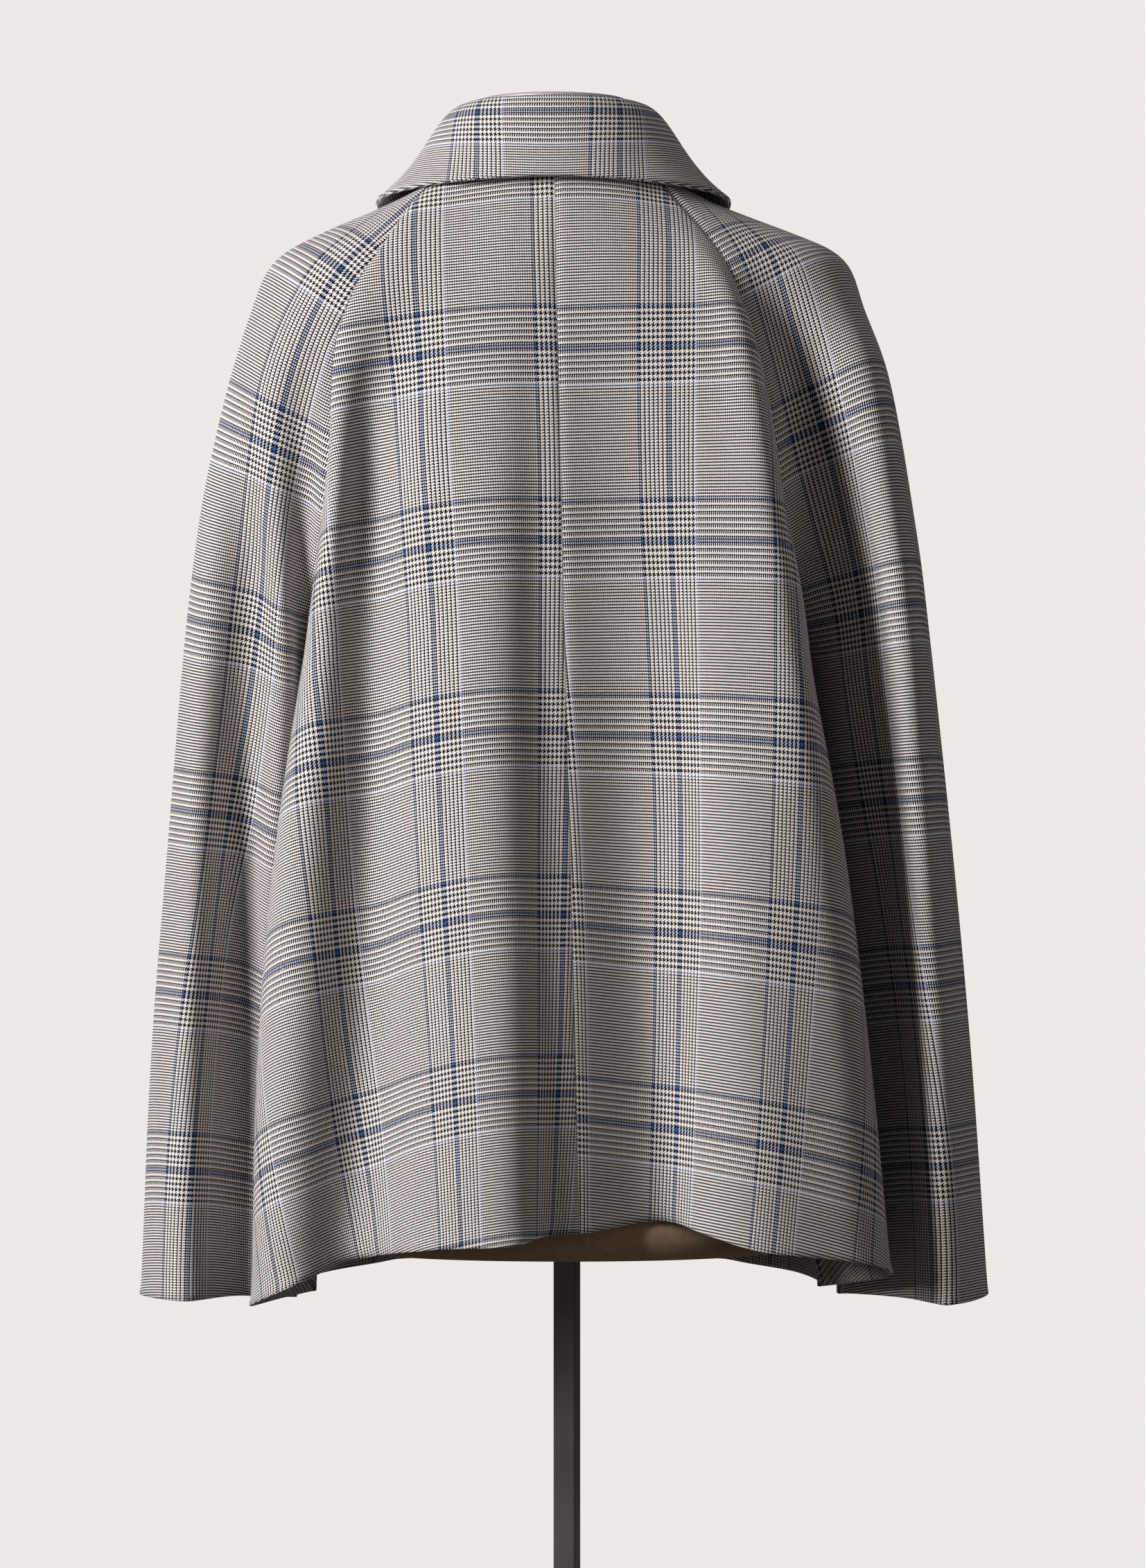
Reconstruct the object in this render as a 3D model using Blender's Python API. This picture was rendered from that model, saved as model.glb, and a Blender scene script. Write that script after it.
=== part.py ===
"""Short swing coat with raglan sleeves on a limbless dress form.

Units are metres, +Z is up and the floor is at Z = 0. The origin is on the stand's axis, under the
base plate. The coat's back faces -Y, and +X is the wearer's right. The tables below are in
millimetres, and MM turns them into metres.
"""

import math

import bmesh
import bpy
import numpy as np
from mathutils import Matrix, Vector

MM = 0.001

# Cloth
WALL = 2.0  # thickness of the wool
SEAM_GAP = 0.4  # between two pieces at a straight seam
RAGLAN_GAP = 0.65  # between a sleeve and the panels beside it
UNDERARM_EASE = 0.35  # each wall's step away from the other below the armhole
MITRE_END = 0.84  # share of the armhole seam where the walls' edges stop being mitred
MITRE_FADE = 0.12

# Rows and columns of the cloth grids
ROWS_YOKE = 14  # from the neck to the underarm, shared by sleeves and body panels
ROWS_SKIRT = 9  # from the underarm to the hem
ROWS_SLEEVE = 8  # from the underarm to the cuff
COLS_BACK = 15
COLS_FRONT = 10
COLS_SLEEVE = 20
UNDERARM_ROW = 11  # where the sleeve closes into a tube; the neck ring is row 0, SLEEVE_ROWS follow

# Neck ring: an ellipse that dips towards the front
NECK_X = -9.0
NECK_Y = 2.0
NECK_WIDE = 64.0
NECK_DEEP = 60.0
NECK_BACK_Z = 1447.0
NECK_DIP = 43.0
RAGLAN_BACK_ANGLE = 50.0  # where the back raglan seam leaves the neck ring
RAGLAN_FRONT_ANGLE = 125.0

# Sleeves, a row for each section below the neck. Columns: height of the back seam, of the outer
# line and of the front seam, then x and y of the back seam, the ditch beside it, the inner roll, the
# groove, the ridge that faces back, the outer line, the front bulge and the front seam.
SLEEVE_ROWS = {
    "left": [
        (1425, 1416.5, 1404, -82, -53, -85, -50, -89, -44, -93, -36, -98, -23, -103, 0, -98, 32, -86, 52),
        (1408, 1404, 1388, -100.7, -62, -106, -58, -112, -52, -118, -44, -125, -29, -131, 0, -124, 36, -105, 62),
        (1375.5, 1390, 1357, -121.5, -78, -129, -74, -138, -68, -147, -58, -156, -41, -164, 0, -154, 45, -126, 78),
        (1346.4, 1368.5, 1328, -139, -88, -147, -84, -158, -79, -171, -68, -184, -51, -198, 0, -181, 52, -141, 88),
        (1316, 1341, 1300, -149.4, -90, -158, -86, -170, -83, -184, -73, -196, -58, -208, 0, -190, 58, -148, 92),
        (1277, 1300, 1258, -153.8, -88, -171, -80, -188, -81, -201, -71, -211, -56, -221, 0, -200, 62, -152, 91),
        (1238, 1255, 1218, -155.6, -84, -171, -72, -188, -80, -205, -68, -221, -55, -232, 0, -207, 64, -155, 85),
        (1201, 1212, 1182, -160, -76, -171, -63, -187, -78, -208, -61, -227, -56, -240.5, 0, -213, 62, -159, 74),
        (1162, 1170, 1146, -165, -58, -172.5, -51, -185, -73, -207, -51, -230, -57, -247, 1, -218, 58, -163, 54),
        (1122, 1132, 1114, -168.5, -30, -174, -38, -184, -66, -208, -43, -232, -56, -252, 2, -222, 54, -167.5, 26),
        (1098, 1102, 1098, -170.5, 0, -175, -28, -184, -58, -209, -37, -235, -54, -255, 3, -224, 52, -170.5, 0),
        (1000, 1000, 1000, -175, 3, -180, -18, -189, -43, -214, -20, -241, -50, -264, 4, -229, 50, -175, 3),
        (857, 857, 857, -178, 4, -184, -6, -194, -18, -215, -2, -248, -46, -276, 5, -232, 48, -178, 4),
        (686, 688, 689, -178, 6, -186, -2, -199, -8, -213, -4, -250, -44, -284, 6, -234, 48, -178, 6),
    ],
    "right": [
        (1425, 1416.5, 1404, 58, -53, 63, -49, 69, -43, 75, -34, 80, -22, 85, 0, 80, 32, 68, 52),
        (1406.5, 1402.5, 1386.5, 73.7, -62, 80, -59, 90, -52, 99, -43, 108, -30, 119, 0, 110, 36, 89, 62),
        (1374.5, 1389, 1356, 98.5, -78, 106, -73, 117, -68, 128, -61, 138, -50, 151, 0, 140.5, 45, 112, 78),
        (1346.4, 1368.5, 1328, 112, -88, 122, -80, 136, -74, 149, -72, 161, -66, 188, 0, 170, 52, 128, 88),
        (1316, 1341, 1300, 121.4, -90, 132, -79, 146, -73, 160, -75, 172, -72, 196, 0, 179, 58, 136, 92),
        (1277, 1300, 1258, 130.8, -86, 142, -75, 156, -70, 172, -80, 186, -85, 210, 0, 191, 62, 142, 91),
        (1238, 1255, 1218, 136.6, -84, 149, -69, 163, -66, 180, -78, 195, -91, 220, 0, 198, 64, 145, 85),
        (1201, 1212, 1182, 143, -76, 155, -62, 169, -61, 187, -75, 202, -95, 227, 0, 203.5, 62, 149, 74),
        (1162, 1170, 1146, 151, -58, 161, -52, 174, -55, 192, -69, 210, -98, 232.5, 1, 207.5, 58, 152, 54),
        (1122, 1132, 1114, 156.5, -30, 163, -38, 176, -50, 195, -66, 214, -99, 236.5, 2, 211, 54, 156.5, 26),
        (1098, 1102, 1098, 159.5, 0, 164.5, -28, 177, -46, 197, -64, 217, -99, 239.5, 3, 213, 52, 159.5, 0),
        (1000, 1000, 1000, 165, 3, 170, -14, 181, -34, 203, -54, 225, -98, 250.5, 4, 219.5, 50, 165, 3),
        (861, 861, 861, 172, 4, 178, -6, 190, -20, 212, -44, 236, -94, 263.5, 5, 225, 48, 172, 4),
        (688, 690, 691, 178, 6, 186, 0, 199, -12, 220, -38, 244, -90, 276.5, 6, 232.5, 48, 178, 6),
    ],
}
OUTER_LINE = 5  # place of the outer line among the sleeve's lines
# These lines meet the neck ring at these directions from the centre back
SLEEVE_NECK_ANGLES = (RAGLAN_BACK_ANGLE, 57.0, 64.0, 71.0, 79.0, 87.5, 106.0, RAGLAN_FRONT_ANGLE)

# Body panels: each line is a ridge, valley or edge that runs from the neck ring to the hem, with
# x, y and z where it passes and its hem as the last row.
CENTRE_BACK = [(-8, -78, 1415), (-6.7, -98, 1350), (-5, -106, 1280), (-1, -110, 1110), (2.2, -118, 1000),
               (5.5, -135, 865), (8.8, -148, 740)]
BACK_LEFT_LINES = [
    # dip beside the centre back seam
    [(-18, -76.5, 1414), (-18, -99, 1350), (-17, -106, 1280), (-15, -110, 1108), (-12, -119, 1000),
     (-9, -138, 865), (-5, -152, 740)],
    # ridge beside it
    [(-32, -76, 1414), (-36, -100, 1350), (-38, -111, 1280), (-39, -128, 1108), (-39, -143, 1000),
     (-35, -167, 865), (-33, -189, 736)],
    # outer shoulder of that ridge
    [(-55, -72, 1413), (-71, -97, 1349), (-82, -106, 1279), (-94, -113, 1106), (-92, -127, 999),
     (-86, -151, 864), (-86, -173, 732)],
    # valley below the shoulder blade
    [(-76, -68, 1411), (-107, -92, 1348), (-129, -82, 1278), (-130, -78, 1214), (-128, -82, 1104),
     (-129, -91, 998), (-132, -110, 862), (-139, -124, 720)],
    # ridge next to the side edge
    [(-89, -66, 1410), (-128, -90, 1347), (-146, -93, 1278), (-152, -99, 1214), (-161, -107, 1102),
     (-169, -121, 996), (-176, -141, 860), (-180, -152, 705)],
    # outermost line of the panel
    [(-96, -64, 1409), (-136, -88.5, 1347), (-151, -91, 1277), (-157, -89, 1200), (-165, -88, 1150),
     (-171, -90, 1100), (-185, -106, 994), (-196, -122, 858), (-201, -127, 694)],
    # side wall
    [(-99, -63, 1408.5), (-138, -88, 1346.5), (-153, -89, 1277), (-159, -82, 1200), (-166, -68, 1150),
     (-169.5, -40, 1099), (-174, -36, 992), (-180, -38, 856), (-186, -42, 690)],
]
BACK_RIGHT_LINES = [
    # valley beside the centre back
    [(5, -77.5, 1415), (10, -98, 1350), (15, -103, 1280), (36, -99, 1109), (49, -98, 1000),
     (61, -107, 865), (66, -116, 745)],
    # foot of the wall that rises from it
    [(15, -77, 1414), (24, -98, 1350), (38, -102, 1279), (66, -103, 1108), (78, -110, 1000),
     (86, -126, 864), (89, -141, 739)],
    # broad ridge
    [(29, -75, 1413), (47, -97, 1349), (66, -105, 1279), (83, -112, 1200), (91, -119, 1106), (99, -129, 998),
     (110, -141, 862), (119, -152, 730)],
    # slope outside it
    [(46, -71, 1411), (82, -96, 1348), (100, -112, 1278), (109, -119, 1200), (120, -127, 1104),
     (134, -135, 996), (149, -136, 860), (162, -140, 724)],
    # ridge next to the side edge
    [(60, -66, 1409.5), (105, -98, 1347), (121, -117, 1277), (131.5, -124, 1200), (150, -129, 1102),
     (165, -129, 994), (184, -123, 858), (198, -121, 718)],
    # outermost line of the panel
    [(69, -63, 1408.5), (110.5, -92, 1346.5), (128, -107, 1277), (139.5, -114, 1200), (149, -116, 1150),
     (156.5, -112, 1100), (177, -106, 992), (196, -98, 856), (211, -95, 711)],
    # side wall
    [(72, -62.3, 1408), (112, -89, 1346), (130.5, -96, 1277), (142.5, -93, 1200), (152.5, -84, 1150),
     (158, -50, 1099), (168, -38, 991), (178, -35, 855), (186, -36, 699)],
]
# The fronts share these lines. Columns: x outwards from the centre front, y and z.
FRONT_MID_X = -4.0
FRONT_LINES = [
    # overlapping edge
    [(-30, 76, 1380), (-30, 96, 1340), (-30, 115.5, 1280), (-30, 127, 1200), (-30, 135, 1100), (-30, 148, 950),
     (-30, 167, 698)],
    # centre front
    [(0, 78, 1380), (0, 98, 1340), (0, 117, 1280), (0, 128.5, 1200), (0, 137, 1100), (0, 151, 950), (0, 171, 699)],
    # inner edge of the overlap
    [(30, 76, 1380), (30, 96, 1340), (30, 115.5, 1280), (30, 127, 1200), (30, 135, 1100), (30, 148, 950),
     (30, 167, 698)],
    # valley beside it
    [(42, 74, 1380), (46, 94.5, 1340), (49, 114, 1280), (51, 125, 1200), (53, 132, 1100), (56, 142, 950),
     (64, 155, 698)],
    # ridge over the bust
    [(54, 72, 1380), (66, 92, 1340), (74, 112, 1280), (80, 126, 1200), (85, 135, 1100), (92, 147, 950),
     (106, 167, 698)],
    # valley towards the side
    [(70, 68, 1379), (92, 87, 1339), (104, 101, 1279), (112, 109, 1199), (117, 112, 1100), (124, 118, 950),
     (130, 130, 697)],
    # ridge at the side
    [(84, 65, 1378), (113, 83, 1338), (128, 94, 1279), (138, 96, 1198), (145, 92, 1100), (154, 98, 950),
     (156, 102, 695)],
    # side wall
    [(96, 62, 1378), (128, 83, 1337), (144, 90.5, 1278), (152, 83, 1197), (159, 66, 1140), (165, 44, 1099),
     (170, 42, 950), (176, 44, 692)],
]
FRONT_NECK_ANGLES = (207.0, 180.0, 153.0, 148.0, 143.0, 138.0, 133.0, 129.0)
# Side seams from the underarm to the hem
SIDE_SEAM = {
    "left": [(-170.5, 0, 1098), (-166, 1, 1050), (-164, 2, 980), (-166, 3, 850), (-170, 4, 690)],
    "right": [(159.5, 0, 1098), (157, 1, 1050), (157, 2, 980), (162, 3, 850), (170, 4, 693)],
}
UNDER_STEP = 3.4  # the left front runs this far below the right one
UNDER_REACH = 38.0  # as far from the centre front as this
UNDER_BLEND = 24.0  # and comes out to its own face over this width

# Collar: a stand, and a leaf that rolls over it. A row for each direction from the centre back.
STAND_END_ANGLE = 170.0
STAND_LEAN = 2.0
STAND_RISE = 1.1  # the stand's foot above the neck ring
FOLD_RISE = 3.6  # the roll's crown above the stand's top edge
FOLD_BACK = 2.2  # the roll starts this far inside its crown
FOLD_BACK_DROP = 0.6  # and this far below it
FOLD_DROP = 5.0  # fall of the roll over its bulge
LEAF_STEEP = 0.62  # share of the fall above the leaf's hollow
COLLAR_ROWS = [
    # angle, height of the fold, radius and height of the leaf's lower edge, bulge below the fold, hollow
    (0.0, 1477.0, 86.0, 1422.0, 8.0, 0.60),
    (30.0, 1477.0, 93.0, 1420.5, 10.0, 0.58),
    (60.0, 1476.5, 108.0, 1417.5, 15.0, 0.48),
    (90.0, 1474.0, 117.5, 1413.0, 18.0, 0.43),
    (120.0, 1460.0, 118.0, 1398.0, 17.0, 0.45),
    (148.0, 1436.0, 109.0, 1374.0, 13.0, 0.5),
    (170.0, 1421.0, 98.0, 1357.0, 8.0, 0.5),
]
COLS_COLLAR = 34
ROWS_LEAF = 7
ROWS_STAND = 2

# Buttons on the right front
BUTTON_HEIGHTS = (1330.0, 1215.0, 1100.0, 985.0)
BUTTON_RADIUS = 12.5
BUTTON_THICK = 4.0
BUTTON_RIM = 1.2
BUTTON_SIDES = 20

# Dress form, a row for each ring. Columns: height, half width, depth behind the axis, depth in front.
FORM_ROWS = [
    (719.0, 146.0, 111.0, 108.0),
    (722.0, 149.5, 114.5, 111.0),
    (760.0, 150.5, 115.0, 111.0),
    (820.0, 150.0, 113.0, 109.0),
    (900.0, 141.0, 103.0, 101.0),
    (1000.0, 126.0, 88.0, 92.0),
    (1060.0, 126.0, 84.0, 96.0),
    (1130.0, 137.0, 88.0, 108.0),
    (1200.0, 146.0, 94.0, 117.0),
    (1260.0, 150.0, 96.0, 110.0),
    (1310.0, 152.0, 94.0, 98.0),
    (1345.0, 154.0, 88.0, 86.0),
    (1365.0, 153.0, 80.0, 76.0),
    (1380.0, 147.0, 70.0, 66.0),
    (1390.0, 134.0, 62.0, 58.0),
    (1400.0, 116.0, 56.0, 50.0),
    (1412.0, 91.0, 52.0, 44.0),
    (1424.0, 66.0, 50.0, 42.0),
    (1436.0, 54.0, 49.0, 44.0),
    (1450.0, 50.0, 49.0, 47.0),
    (1471.0, 49.2, 49.2, 49.2),
]
FORM_SIDES = 32
FORM_SQUARENESS = 2.15  # exponent of the rings below the neck
FORM_TOP_X = -9.0  # the form leans: its axis is here at the neck and at 0 at its foot
CAP_RADIUS = 49.7
CAP_THICK = 9.0
CAP_EDGE = 1.6
CAP_SIDES = 48

# Stand
FIT_GAP = 0.3  # between hard pieces that touch
POLE_WIDE = 15.0
POLE_TURN = -15.0  # degrees about the axis
POLE_EDGE = 1.2
PLATE_WIDE = 320.0
PLATE_THICK = 8.0
PLATE_CORNER = 24.0
PLATE_EDGE = 1.0

# Colours
WOOL = (0.34, 0.33, 0.325)
LINEN = (0.31, 0.178, 0.102)
STEEL = (0.56, 0.50, 0.47)
BLACK_STEEL = (0.05, 0.047, 0.045)
HORN = (0.02, 0.018, 0.017)


def material(name, colour, roughness, metallic=0.0):
    """A plain Principled material."""
    found = bpy.data.materials.get(name)
    if found:
        return found
    made = bpy.data.materials.new(name)
    made.use_nodes = True
    shader = made.node_tree.nodes["Principled BSDF"]
    shader.inputs["Base Color"].default_value = (*colour, 1.0)
    shader.inputs["Roughness"].default_value = roughness
    shader.inputs["Metallic"].default_value = metallic
    return made


def add_object(name, bm, finish, smooth=True):
    """Link a bmesh, in metres, as a named object."""
    bmesh.ops.recalc_face_normals(bm, faces=bm.faces)
    mesh = bpy.data.meshes.new(name)
    bm.to_mesh(mesh)
    bm.free()
    if smooth:
        mesh.shade_smooth()
        mesh.set_sharp_from_angle(angle=math.radians(62))
    mesh.materials.append(finish)
    made = bpy.data.objects.new(name, mesh)
    bpy.context.scene.collection.objects.link(made)
    return made


def unit(vectors):
    """Vectors along the last axis, each made one unit long."""
    length = np.linalg.norm(vectors, axis=-1, keepdims=True)
    return vectors / np.maximum(length, 1e-9)


def spline(knots, values, at, closed_before=None, closed_after=None):
    """Smooth curve through values at rising knots, read at each of at.

    The slopes are those of the parabola through each point and its neighbours. A point before the
    first one or after the last one, where given, sets the slope at that end.
    """
    knots = np.asarray(knots, float)
    values = np.asarray(values, float)
    step = np.diff(knots)[:, None]
    chord = np.diff(values, axis=0) / step
    slope = np.empty_like(values)
    slope[1:-1] = (chord[:-1] * step[1:] + chord[1:] * step[:-1]) / (step[:-1] + step[1:])
    slope[0] = chord[0]
    slope[-1] = chord[-1]
    if closed_before is not None:
        slope[0] = (values[1] - closed_before) / (knots[1] - knots[0] + np.linalg.norm(values[0] - closed_before))
    if closed_after is not None:
        slope[-1] = (closed_after - values[-2]) / (knots[-1] - knots[-2] + np.linalg.norm(closed_after - values[-1]))
    at = np.asarray(at, float)
    place = np.clip(np.searchsorted(knots, at, side="right") - 1, 0, len(knots) - 2)
    gap = step[place]
    t = ((at - knots[place])[:, None]) / gap
    return (
        (2 * t**3 - 3 * t**2 + 1) * values[place]
        + (t**3 - 2 * t**2 + t) * gap * slope[place]
        + (3 * t**2 - 2 * t**3) * values[place + 1]
        + (t**3 - t**2) * gap * slope[place + 1]
    )


def chord_knots(points):
    """Distance along a row of points."""
    steps = np.linalg.norm(np.diff(points, axis=0), axis=1)
    return np.concatenate([[0.0], np.cumsum(np.maximum(steps, 1e-3))])


def section(points, columns, before=None, after=None):
    """A smooth section through its control points, as evenly spaced columns."""
    points = np.asarray(points, float)
    knots = chord_knots(points)
    fine = spline(knots, points, np.linspace(0, knots[-1], 40 * columns), before, after)
    along = chord_knots(fine)
    at = np.linspace(0, along[-1], columns + 1)
    return np.stack([np.interp(at, along, fine[:, axis]) for axis in range(3)], axis=1)


def neck_point(side, angle):
    """Point of the neck ring at an angle from the centre back, towards one side."""
    turn = math.radians(angle)
    dip = NECK_DIP * ((1 - math.cos(turn)) / 2) ** 2
    x = NECK_X + (1 if side == "right" else -1) * NECK_WIDE * math.sin(turn)
    return np.array([x, NECK_Y - NECK_DEEP * math.cos(turn), NECK_BACK_Z - dip])


def sleeve_table(side):
    """Control points of each sleeve row, as an array of rows, lines and x, y, z."""
    rows = [[neck_point(side, angle) for angle in SLEEVE_NECK_ANGLES]]
    for row in SLEEVE_ROWS[side]:
        z_back, z_out, z_front = row[:3]
        flat = np.array(row[3:]).reshape(8, 2)
        heights = list(np.linspace(z_back, z_out, OUTER_LINE + 1)) + [(z_out + z_front) / 2, z_front]
        rows.append(np.column_stack([flat, heights]))
    return np.array(rows)


def sleeve_lines(side):
    """Control points of every grid row of a sleeve: the yoke's rows, then the tube's."""
    table = sleeve_table(side)
    knots = chord_knots(table[:, OUTER_LINE])
    at = np.concatenate(
        [
            np.linspace(0, knots[UNDERARM_ROW], ROWS_YOKE + 1),
            np.linspace(knots[UNDERARM_ROW], knots[-1], ROWS_SLEEVE + 1)[1:],
        ]
    )
    flat = spline(knots, table.reshape(len(table), -1), at)
    return flat.reshape(len(at), -1, 3)


def sleeve_grid(side):
    """Outer face of a sleeve, rows from neck to cuff and columns from back seam to front seam."""
    grid = []
    for index, points in enumerate(sleeve_lines(side)):
        closed = min(max((index - ROWS_YOKE + 2) / 2, 0.0), 1.0)
        open_before = 2 * points[0] - points[1]
        open_after = 2 * points[-1] - points[-2]
        before = (1 - closed) * open_before + closed * points[-2]
        after = (1 - closed) * open_after + closed * points[1]
        grid.append(section(points, COLS_SLEEVE, before, after))
    return np.array(grid)


def body_rows(lines, neck_angles, side, seam_column, seam_side, columns):
    """Outer face of a body panel: control points of each row, made into even columns.

    lines are the panel's tables, each with its neck ring angle, and the last edge is the raglan
    seam down to the underarm and the side seam below it.
    """
    yoke_seam = sleeve_lines(side)[: ROWS_YOKE + 1, seam_column]
    ease = np.linspace(0, 1, ROWS_YOKE + 1) ** 6 * UNDERARM_EASE * seam_side
    yoke_seam = yoke_seam + np.column_stack([ease, 0 * ease, 0 * ease])
    skirt = np.array(SIDE_SEAM[side], float)
    skirt_at = np.linspace(0, 1, ROWS_SKIRT + 1)[1:]
    knots = (skirt[0, 2] - skirt[:, 2]) / (skirt[0, 2] - skirt[-1, 2])
    skirt_seam = spline(knots, skirt, skirt_at)
    skirt_seam[:, 0] += UNDERARM_EASE * seam_side
    seam = np.vstack([yoke_seam, skirt_seam])
    top_z = seam[0, 2]
    arm_z = seam[ROWS_YOKE, 2]
    tracks = []
    for angle, table in zip(neck_angles, lines):
        points = np.vstack([neck_point(side, angle), np.array(table, float)])
        arm_line = arm_z + 10.0 * (1 - angle / RAGLAN_BACK_ANGLE if angle < 90 else 0)
        yoke_z = points[0, 2] + (yoke_seam[:, 2] - top_z) * (points[0, 2] - arm_line) / (top_z - arm_z)
        skirt_z = arm_line + (points[-1, 2] - arm_line) * skirt_at
        z = np.concatenate([yoke_z, skirt_z])
        tracks.append(spline(-points[:, 2], points, np.clip(-z, -points[0, 2], -points[-1, 2])))
    grid = []
    for row in range(len(seam)):
        points = [track[row] for track in tracks] + [seam[row]]
        grid.append(section(points, columns))
    return np.array(grid)


def back_grid(side):
    """Outer face of one half of the back, columns from the centre back to the side."""
    lines = [CENTRE_BACK] + (BACK_LEFT_LINES if side == "left" else BACK_RIGHT_LINES)
    angles = np.linspace(0, RAGLAN_BACK_ANGLE, len(lines) + 1)[:-1]
    inward = 1 if side == "left" else -1
    return body_rows(lines, angles, side, 0, inward, COLS_BACK)


def front_grid(side):
    """Outer face of one front, columns from its overlapping edge to the side."""
    out = 1 if side == "right" else -1
    lines = [[(FRONT_MID_X + out * x, y, z) for x, y, z in table] for table in FRONT_LINES]
    grid = body_rows(lines, FRONT_NECK_ANGLES, side, -1, -out, COLS_FRONT)
    if side == "left":
        reach = (FRONT_MID_X - grid[:, :, 0] - UNDER_REACH) / UNDER_BLEND
        reach = np.clip(reach, 0, 1)[:, :, None]
        grid -= normals(grid, out) * UNDER_STEP * (1 - reach**2 * (3 - 2 * reach))
    return grid


def normals(grid, sign):
    """Outward normals of a grid of points."""
    down = np.gradient(grid, axis=0)
    across = np.gradient(grid, axis=1)
    return sign * unit(np.cross(across, down))


def share_normals(first, first_column, second, second_column, shares):
    """Mitre two panels at their seam: each edge normal takes up the other's, by a share per row."""
    rows = len(shares)
    a = first[:rows, first_column].copy()
    b = second[:rows, second_column].copy()
    first[:rows, first_column] = unit(a + shares[:, None] * b)
    second[:rows, second_column] = unit(b + shares[:, None] * a)


def draw_in(grid, face, column, neighbour, amount):
    """Pull one edge column back along the cloth by half a seam gap."""
    inward = grid[:, neighbour] - grid[:, column]
    inward -= (inward * face[:, column]).sum(axis=1, keepdims=True) * face[:, column]
    grid[:, column] += unit(inward) * amount


def cloth(name, grid, face, finish, wall=WALL):
    """A closed slab of cloth: the outer grid, the same grid moved in by the wall, and the rims."""
    rows, columns = grid.shape[:2]
    inner = grid - face * wall
    bm = bmesh.new()
    layers = []
    for points in (grid, inner):
        layers.append([[bm.verts.new(points[r, c] * MM) for c in range(columns)] for r in range(rows)])
    for layer in layers:
        for r in range(rows - 1):
            for c in range(columns - 1):
                bm.faces.new((layer[r][c], layer[r][c + 1], layer[r + 1][c + 1], layer[r + 1][c]))
    outer, inside = layers
    border = [(0, c) for c in range(columns)] + [(r, columns - 1) for r in range(1, rows)]
    border += [(rows - 1, c) for c in range(columns - 2, -1, -1)] + [(r, 0) for r in range(rows - 2, 0, -1)]
    for (r, c), (r2, c2) in zip(border, border[1:] + border[:1]):
        bm.faces.new((outer[r][c], outer[r2][c2], inside[r2][c2], inside[r][c]))
    return add_object(name, bm, finish)


def build_body_and_sleeves(wool):
    """The six main pieces, mitred and a small gap apart at their seams."""
    grids = {}
    faces = {}
    for side in ("left", "right"):
        out = 1 if side == "left" else -1
        grids["back_" + side] = back_grid(side)
        grids["front_" + side] = front_grid(side)
        grids["sleeve_" + side] = sleeve_grid(side)
        faces["back_" + side] = normals(grids["back_" + side], out)
        faces["front_" + side] = normals(grids["front_" + side], -out)
        faces["sleeve_" + side] = normals(grids["sleeve_" + side], out)
    yoke = 1 - np.clip((np.linspace(0, 1, ROWS_YOKE + 1) - MITRE_END) / MITRE_FADE, 0, 1)
    skirt = np.concatenate([np.zeros(ROWS_YOKE), np.ones(ROWS_SKIRT + 1)])
    whole = np.ones(ROWS_YOKE + ROWS_SKIRT + 1)
    tube = np.concatenate([np.zeros(ROWS_YOKE), np.ones(ROWS_SLEEVE + 1)])
    share_normals(faces["back_left"], 0, faces["back_right"], 0, whole)
    for side in ("left", "right"):
        back, front, sleeve = (faces[part + side] for part in ("back_", "front_", "sleeve_"))
        share_normals(back, -1, sleeve, 0, yoke)
        share_normals(front, -1, sleeve, -1, yoke)
        share_normals(back, -1, front, -1, skirt)
        share_normals(sleeve, 0, sleeve, -1, tube)
    for name, grid in grids.items():
        draw_in(grid, faces[name], -1, -2, RAGLAN_GAP / 2)
        if name.startswith("sleeve"):
            draw_in(grid, faces[name], 0, 1, RAGLAN_GAP / 2)
        elif name.startswith("back"):
            draw_in(grid, faces[name], 0, 1, SEAM_GAP / 2)
        cloth(name, grid, faces[name], wool)
    return grids, faces


def collar_columns():
    """Angle, fold height, edge radius, edge height and bulge, read along the collar."""
    table = np.array(COLLAR_ROWS)
    mirrored = table[:0:-1].copy()
    mirrored[:, 0] *= -1
    whole = np.vstack([mirrored, table])
    at = np.linspace(-STAND_END_ANGLE, STAND_END_ANGLE, COLS_COLLAR + 1)
    return spline(whole[:, 0], whole, at)


def ring_point(angle, radius, z, deep=None):
    """Point at an angle from the centre back, round the neck's axis."""
    turn = math.radians(angle)
    deep = radius if deep is None else deep
    return (NECK_X + radius * math.sin(turn), NECK_Y - deep * math.cos(turn), z)


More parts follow.
